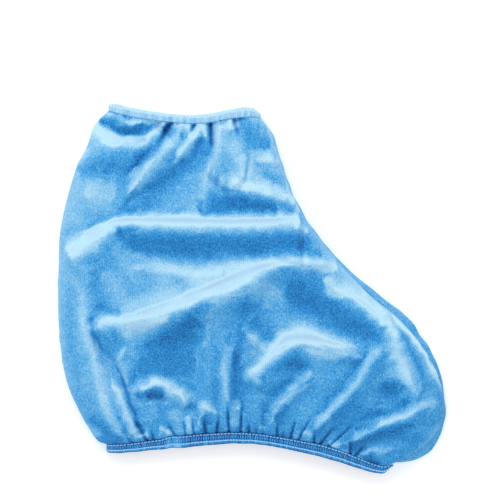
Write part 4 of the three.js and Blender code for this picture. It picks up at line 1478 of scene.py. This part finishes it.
@dataclass
class Band:
    """A hem folded over elastic, which draws in one of the openings.

    The fold's depth lies along Y, and its cross-section is a soft flattened round.
    """

    opening: Opening
    depths: tuple[Point, ...]  # along Y, at shares of the way from back to front
    rib: float  # spacing of the ribs that the elastic draws in
    rib_height: float
    form: BagForm = FORM
    wall: float = 3.2
    gap: float = 0.12  # between the band and the panels' edges
    step: float = 0.42  # between two points of its ring
    sides: int = 20  # points round its cross-section
    softness: float = 0.55  # of the cross-section: 1 for an ellipse, and less for a squarer round
    top_points: int = 400  # across the near panel, from which the even steps are measured
    flat_points: int = 301  # the same on the far panel's flat
    edge_points: int = 40  # and on its two edges
    laps_from: float = 0.05  # how far the band has to face up before it laps over the panel
    laps_over: float = 0.35  # and over how much of a turn it then comes to lap fully
    rib_drift: float = 1.6  # how unevenly the ribs are spaced, in radians
    rib_drift_period: float = 23
    rib_sides: float = 1.6  # how soon a rib dies out round the fold
    tone: float = 0.3  # the tone number between two ribs
    rib_painted_light: float = 0.3  # painted light and shade of the ribs: how much paler a rib's crest is than the drawn-in trough
    edge_tone: float = 0.3  # how much paler the free edge is
    edge_start: float = 0.68  # share of the depth where the free edge starts
    edge_fade: float = 0.08
    gathers: float = 0.1  # how unevenly the cloth is bunched along it
    gather_period: float = 4.5
    under_painted_shade: float = 0.0  # painted shade: how much darker it is where the fold turns under
    under_start: float = 0.88  # share of the depth where the fold turns under
    under_fade: float = 0.1
    overlap: float | None = None  # where the elastic's ends are joined
    overlap_tone: float = 0.4
    overlap_reach: float = 6.5
    overlap_floor: float = 5  # height above the surface from which the joint shows
    wander: float = 0.1  # of the free edge
    wander_period: float = 17
    piece: bpy.types.Object | None = field(default=None, init=False)

    def ring(self) -> tuple[np.ndarray, np.ndarray]:
        """Goes round the opening in even steps.

        Returns:
            The points and their outward directions.
        """
        form, row = self.form, np.array([float(self.opening.value)])
        ends = form.sections(row)
        width = form.width(ends)[:, None]
        ends = as_columns(ends)
        share = (1 - np.cos(np.linspace(0, np.pi, self.top_points)))[None] / 2
        roll = quarter(share * width / form.mouth_rounding)
        roll = roll * quarter((1 - share) * width / form.mouth_rounding)
        foot = form.seam(row)[:, None]
        height = foot + (ends["crown"] - foot) * roll
        top = raised(form.across(ends, row[:, None], share), height)[0]
        edge = self.edge_points
        below = FarPanel(form, flat_columns=self.flat_points, lip_columns=edge, back_columns=edge)
        bottom = below.outer_rows(row)[0]
        loop = np.concatenate([top, bottom[1:-1], top[:1]])
        run = np.concatenate([[0], np.cumsum(np.linalg.norm(np.diff(loop, axis=0), axis=1))])
        count = int(round(run[-1] / self.step))
        places = np.arange(count) * run[-1] / count
        points = np.stack([np.interp(places, run, loop[:, k]) for k in range(3)], axis=-1)
        tangent = np.roll(points, -2, axis=0) - np.roll(points, 2, axis=0)
        outward = np.stack([-tangent[:, 2], np.zeros(count), tangent[:, 0]], axis=-1)
        return points, outward / np.linalg.norm(outward, axis=-1, keepdims=True)

    def reach(self, points: np.ndarray) -> np.ndarray:
        """The band's depth along Y at each point of its ring.

        Args:
            points: The ring.

        Returns:
            The depths, with the sign of the direction.
        """
        ends = self.form.sections(np.array([float(self.opening.value)]))
        back, front = ends["back"][0, 0], ends["front"][0, 0]
        depth = bow(self.depths, np.clip((points[:, 0] - back) / (front - back), 0, 1))
        wave = Noise(SEED + 3).at(points[:, 0], 4 * points[:, 2], self.wander_period)
        return self.opening.way * (depth + self.wander * wave)

    def lip(self, turn: np.ndarray, outward: np.ndarray) -> tuple[np.ndarray, np.ndarray]:
        """How far the cross-section laps over the panel and is raised, where it faces up.

        Args:
            turn: Turns round the cross-section, in radians.
            outward: Outward direction at each point of the ring.

        Returns:
            Both distances for each point of the ring and each turn.
        """
        faces_up = smoothstep((outward[:, 2] - self.laps_from) / self.laps_over)[:, None]
        turns = [point.turn for point in LIP]
        over = np.interp(np.degrees(turn), turns, [point.over for point in LIP])
        up = np.interp(np.degrees(turn), turns, [point.up for point in LIP])
        return faces_up * over, faces_up * up

    def ribs(self, count: int) -> np.ndarray:
        """How far each place of the ring is drawn in between two ribs, from 0 to 1.

        Args:
            count: Number of places.

        Returns:
            The share for each place.
        """
        along = np.arange(count) * self.step
        total = max(1, round(count * self.step / self.rib)) * 2 * np.pi / count
        drift = Noise(SEED + 4).at(along, np.zeros(count), self.rib_drift_period)
        # The drift ends where the ring closes, so that the last rib meets the first.
        fade_ends = np.sin(np.pi * np.arange(count) / count) ** 0.2
        return (1 - np.cos(np.arange(count) * total + self.rib_drift * drift * fade_ends)) / 2

    def squarer(self, value: np.ndarray) -> np.ndarray:
        """A sine or a cosine of a turn round the cross-section, made squarer by its softness."""
        return np.sign(value) * np.abs(value) ** self.softness

    def place(self, depth_share: float, lift: float) -> tuple[np.ndarray, np.ndarray]:
        """Points on the band's outer face, raised off it, and the direction of its depth there.

        Args:
            depth_share: Share of the depth at which they lie.
            lift: How far they are raised.

        Returns:
            Both, for each point of the ring.
        """
        points, outward = self.ring()
        sunk = self.rib_height * self.ribs(len(points)) * 0.5
        across = 2 * depth_share - 1
        bulge = (1 - abs(across) ** (2 / self.softness)) ** (self.softness / 2)
        turn = math.acos(math.copysign(abs(across) ** (1 / self.softness), across))
        lap = self.lip(np.array([turn]), outward)[1][:, 0]
        height = lift + lap - sunk - self.wall / 2 * (1 - bulge)
        made = points + outward * height[:, None]
        made[:, 1] += self.opening.way * self.gap + self.reach(points) * depth_share
        made[:, 2] = np.maximum(made[:, 2], STITCH_FLOOR)
        return made, np.tile((0.0, 1.0, 0.0), (len(points), 1))

    def build(self) -> "Band":
        """Makes the closed band and stores its tone.

        Returns:
            The band.
        """
        points, outward = self.ring()
        count = len(points)
        ribs = self.ribs(count)
        turn = np.arange(self.sides) * 2 * np.pi / self.sides
        depth_share = (1 + self.squarer(np.cos(turn))) / 2
        inset = (1 - self.squarer(np.sin(turn))) / 2
        face = np.clip(1 - self.rib_sides * inset, 0, 1)
        over, up = self.lip(turn, outward)
        sink = self.wall * inset[None] + self.rib_height * ribs[:, None] * face[None] - up
        made = points[:, None] - outward[:, None] * sink[..., None]
        made[..., 1] = points[:, 1, None] + self.opening.way * (self.gap - over)
        made[..., 1] += self.reach(points)[:, None] * depth_share[None]
        made[..., 2] = np.maximum(made[..., 2], 0)
        a = np.arange(count * self.sides).reshape(count, self.sides)
        b, c = np.roll(a, -1, axis=0), np.roll(a, -1, axis=1)
        d = np.roll(b, -1, axis=1)
        faces = quads(a, b, d, c) if self.opening is Opening.SOLE else quads(a, c, d, b)
        name = f"{self.opening.name.lower()}_band_elastic"
        self.piece = new_object(name, made.reshape(-1, 3), faces)
        bunched = Noise(SEED + 9).at(points[:, 0], 4 * points[:, 2], self.gather_period)
        tone_and_painted_light = self.tone_and_painted_light(made, depth_share[None], ribs[:, None]) + self.gathers * bunched[:, None]
        add_attribute(self.piece, "tone_and_painted_light", tone_and_painted_light)
        return self

    def tone_and_painted_light(self, made: np.ndarray, depth_share: np.ndarray, ribs: np.ndarray) -> np.ndarray:
        """The tone at each point.

        Args:
            made: The band's points.
            depth_share: How far each column of points is from the panel.
            ribs: How far each row of points is drawn in.

        Returns:
            The tone numbers, with a paler free edge, painted light and shade on the ribs, and painted
            shade where the fold turns under.
        """
        # Ribs: painted light on their crests and painted shade in the drawn-in troughs.
        rib_painted_light = self.rib_painted_light * (1 - ribs)
        x, z = made[..., 0], made[..., 2]
        past = smoothstep((depth_share - self.edge_start) / self.edge_fade)
        tone_and_painted_light = self.tone + rib_painted_light + (self.edge_tone - 0.6 * rib_painted_light) * past
        # Painted shade where the fold turns under.
        turned = smoothstep((depth_share - self.under_start) / self.under_fade)
        tone_and_painted_light = tone_and_painted_light - self.under_painted_shade * turned
        if self.overlap is not None:
            doubled = np.exp(-(((x - self.overlap) / self.overlap_reach) ** 6))
            tone_and_painted_light = tone_and_painted_light + self.overlap_tone * doubled * (z > self.overlap_floor)
        return tone_and_painted_light


@dataclass
class StitchRow:
    """Stitches of one kind, which repeat along a line on a band."""

    name: str
    line: np.ndarray  # closed line of points that the stitches lie on
    lie: np.ndarray  # the direction that the stitch at each point lies in
    pitch: float
    length: float
    thread: float  # radius
    scatter: float = 0.12

    @staticmethod
    def tree() -> bpy.types.NodeTree:
        """Builds the node tree that lays stitches along a line.

        Returns:
            The tree.
        """
        tree = bpy.data.node_groups.new("stitches_along_line", "GeometryNodeTree")
        face = tree.interface
        face.new_socket("Geometry", in_out="INPUT", socket_type="NodeSocketGeometry")
        for title in ("Pitch", "Length", "Thread", "Scatter"):
            face.new_socket(title, in_out="INPUT", socket_type="NodeSocketFloat")
        face.new_socket("Seed", in_out="INPUT", socket_type="NodeSocketInt")
        face.new_socket("Finish", in_out="INPUT", socket_type="NodeSocketMaterial")
        face.new_socket("Geometry", in_out="OUTPUT", socket_type="NodeSocketGeometry")
        given = tree.nodes.new("NodeGroupInput").outputs
        curve = add_node(tree, "GeometryNodeMeshToCurve", {"Mesh": given["Geometry"]})
        spacing = {"Curve": curve, "Length": given["Pitch"]}
        spaced = add_node(tree, "GeometryNodeResampleCurve", spacing, mode="LENGTH")
        dots = add_node(tree, "GeometryNodeCurveToPoints", {"Curve": spaced}, mode="EVALUATED")
        lie = add_node(
            tree, "GeometryNodeInputNamedAttribute", {"Name": "lie"}, data_type="FLOAT_VECTOR"
        )
        turned = add_node(tree, "FunctionNodeAlignRotationToVector", {"Vector": lie}, axis="X")
        ends = [
            add_node(tree, "ShaderNodeMath", {0: 1.0, 1: given["Scatter"]}, operation=operation)
            for operation in ("SUBTRACT", "ADD")
        ]
        spread = {2: ends[0], 3: ends[1], "Seed": given["Seed"]}
        vary = add_node(tree, "FunctionNodeRandomValue", spread, data_type="FLOAT").outputs[1]
        half = add_node(tree, "ShaderNodeMath", {0: given["Length"], 1: 0.5}, operation="MULTIPLY")
        longer = add_node(tree, "ShaderNodeMath", {0: half, 1: vary}, operation="MULTIPLY")
        sides = {"X": longer, "Y": given["Thread"], "Z": given["Thread"]}
        size = add_node(tree, "ShaderNodeCombineXYZ", sides)
        ball = add_node(
            tree, "GeometryNodeMeshUVSphere", {"Segments": 6, "Rings": 5, "Radius": 1.0}
        )
        ball = add_node(tree, "GeometryNodeSetShadeSmooth", {"Geometry": ball})
        stitch = {"Points": dots, "Instance": ball, "Rotation": turned, "Scale": size}
        laid = add_node(tree, "GeometryNodeInstanceOnPoints", stitch)
        real = add_node(tree, "GeometryNodeRealizeInstances", {"Geometry": laid})
        finish = {"Geometry": real, "Material": given["Finish"]}
        dressed = add_node(tree, "GeometryNodeSetMaterial", finish)
        add_node(tree, "NodeGroupOutput", {0: dressed})
        return tree

    def build(self, tree: bpy.types.NodeTree, thread: bpy.types.Material) -> bpy.types.Object:
        """Lays the stitches and returns them as a plain mesh.

        Args:
            tree: The node tree from tree().
            thread: The thread's finish.

        Returns:
            The stitches of this row as one piece.
        """
        count = len(self.line)
        mesh = bpy.data.meshes.new(self.name)
        edges = [(k, (k + 1) % count) for k in range(count)]
        mesh.from_pydata((self.line * MM).tolist(), edges, [])
        layer = mesh.attributes.new("lie", "FLOAT_VECTOR", "POINT")
        layer.data.foreach_set("vector", self.lie.astype(np.float32).ravel())
        piece = bpy.data.objects.new(self.name, mesh)
        bpy.context.scene.collection.objects.link(piece)
        modifier = piece.modifiers.new("stitches", "NODES")
        modifier.node_group = tree
        values = {
            "Pitch": self.pitch * MM,
            "Length": self.length * MM,
            "Thread": self.thread * MM,
            "Scatter": self.scatter,
            "Seed": SEED,
            "Finish": thread,
        }
        for item in tree.interface.items_tree:
            if item.in_out == "INPUT" and item.name in values:
                modifier[item.identifier] = values[item.name]
        graph = bpy.context.evaluated_depsgraph_get()
        made = bpy.data.meshes.new_from_object(piece.evaluated_get(graph))
        piece.modifiers.remove(modifier)
        piece.data = made
        return piece


# ---------------------------------------------------------------------------
# Studio
# ---------------------------------------------------------------------------


@dataclass
class Studio:
    """A pale floor, soft light and a camera straight above the cover."""

    centre: Point = (-1.5, 29)
    view_width: float = 383
    camera_height: float = 2200
    sensor: float = 36
    sight_m: float = 100  # how far the camera sees
    ambient: float = 0.86
    key_power: float = 11  # of the light past the leg
    fill_power: float = 4  # of the light past the sole
    floor_edge: float = 4000  # from the middle to each side
    floor_drop: float = 0.3  # how far the floor lies under the cover

    def light(self, name: str, place: tuple[float, ...], size: float, power: float) -> None:
        """Adds a square soft light, which faces the cover.

        Args:
            name: The light's name.
            place: Where it stands, in metres.
            size: Length of its side, in metres.
            power: Its power, in watts.
        """
        lamp = bpy.data.lights.new(name, "AREA")
        lamp.size, lamp.energy = size, power
        made = bpy.data.objects.new(name, lamp)
        made.location = place
        made.rotation_euler = (-Vector(place)).to_track_quat("-Z", "Y").to_euler()
        bpy.context.scene.collection.objects.link(made)

    def room(self) -> None:
        """Makes the soft light from all sides."""
        world = bpy.data.worlds.new("soft_room")
        world.use_nodes = True
        sky = world.node_tree.nodes["Background"]
        sky.inputs["Color"].default_value = linear("#FFFFFF")
        sky.inputs["Strength"].default_value = self.ambient
        bpy.context.scene.world = world

    def floor(self) -> None:
        """Makes the sheet of paper that the cover lies on."""
        turns = ((-1, -1), (1, -1), (1, 1), (-1, 1))
        corners = [(x * self.floor_edge, y * self.floor_edge, -self.floor_drop) for x, y in turns]
        floor = new_object("floor", np.array(corners, float), [(0, 1, 2, 3)])
        floor.data.materials.append(WhitePaper().material())

    def camera(self) -> None:
        """Makes the camera, straight above the cover."""
        camera = bpy.data.cameras.new("camera")
        camera.sensor_width = self.sensor
        camera.lens = self.sensor * self.camera_height / self.view_width
        camera.clip_end = self.sight_m
        made = bpy.data.objects.new("camera", camera)
        made.location = (self.centre[0] * MM, self.centre[1] * MM, self.camera_height * MM)
        bpy.context.scene.collection.objects.link(made)
        bpy.context.scene.camera = made

    def build(self) -> None:
        """Makes the floor, the lights and the camera."""
        bpy.context.scene.view_settings.view_transform = "Standard"
        self.room()
        self.floor()
        self.light("key_light", (-0.25, 1.4, 1.4), 1.1, self.key_power)
        self.light("fill_light", (-0.5, -1.4, 1.3), 1.4, self.fill_power)
        self.camera()


def hand_over(piece: bpy.types.Object, node: str | None = None) -> None:
    """Declares a piece to the frame and logs how many triangles it has.

    Args:
        piece: The piece, which rides on the part's one body.
        node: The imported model's part that it stands for, if any.
    """
    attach(piece, "root")
    if node:
        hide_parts(node)
    piece.data.calc_loop_triangles()
    LOG.info("%s: %d triangles", piece.name, len(piece.data.loop_triangles))


def stitches(sole: Band) -> list[StitchRow]:
    """The two lines of stitches along the sole band, and the fine threads that cross between them.

    Args:
        sole: The finished sole band.

    Returns:
        The three rows.
    """
    upper, across = sole.place(depth_share=0.11, lift=0.34)
    lower, _ = sole.place(depth_share=0.68, lift=0.34)
    middle, _ = sole.place(depth_share=0.4, lift=0.05)
    along = np.roll(upper, -1, axis=0) - np.roll(upper, 1, axis=0)
    return [
        StitchRow("sole_stitches_upper", upper, along, pitch=2.7, length=2.6, thread=0.54),
        StitchRow("sole_stitches_lower", lower, along, pitch=2.3, length=2.9, thread=0.66),
        StitchRow("sole_stitches_cross", middle, across, pitch=1.9, length=2.4, thread=0.16),
    ]


def main() -> None:
    """Builds the cover and the studio in order, and reports each piece."""
    logging.basicConfig(level=logging.INFO, format="%(message)s")
    velour, backing = Velour().material(), KnitBacking().material()
    thread = SewingThread().material()
    near, far = NearPanel().build(), FarPanel().build()
    panels = ((near, "near_velour", "near_panel"), (far, "far_velour", "far_panel"))
    for panel, slot, node in panels:
        panel.dress(velour, backing)
        hand_over(panel.piece, node)
    leg = Band(
        Opening.LEG,
        depths=LEG_BAND_DEPTH,
        rib=1.9,
        rib_height=0.2,
        tone=0.6,
        rib_painted_light=0.1,
        edge_tone=0.3,
        gathers=0.07,
    ).build()
    sole = Band(
        Opening.SOLE,
        depths=SOLE_BAND_DEPTH,
        rib=1.7,
        rib_height=0.22,
        tone=-0.44,
        rib_painted_light=0.34,
        edge_tone=0.42,
        under_painted_shade=0.7,
        overlap=-60,
    ).build()
    bands = ((leg, "ankle_elastic", "ankle_band"), (sole, "sole_elastic", "sole_band"))
    for band, slot, node in bands:
        band.piece.data.materials.append(velour)
        hand_over(band.piece, node)
    tree = StitchRow.tree()
    for row in stitches(sole):
        hand_over(row.build(tree, thread))
    Studio().build()


if __name__ == "__main__":
    main()
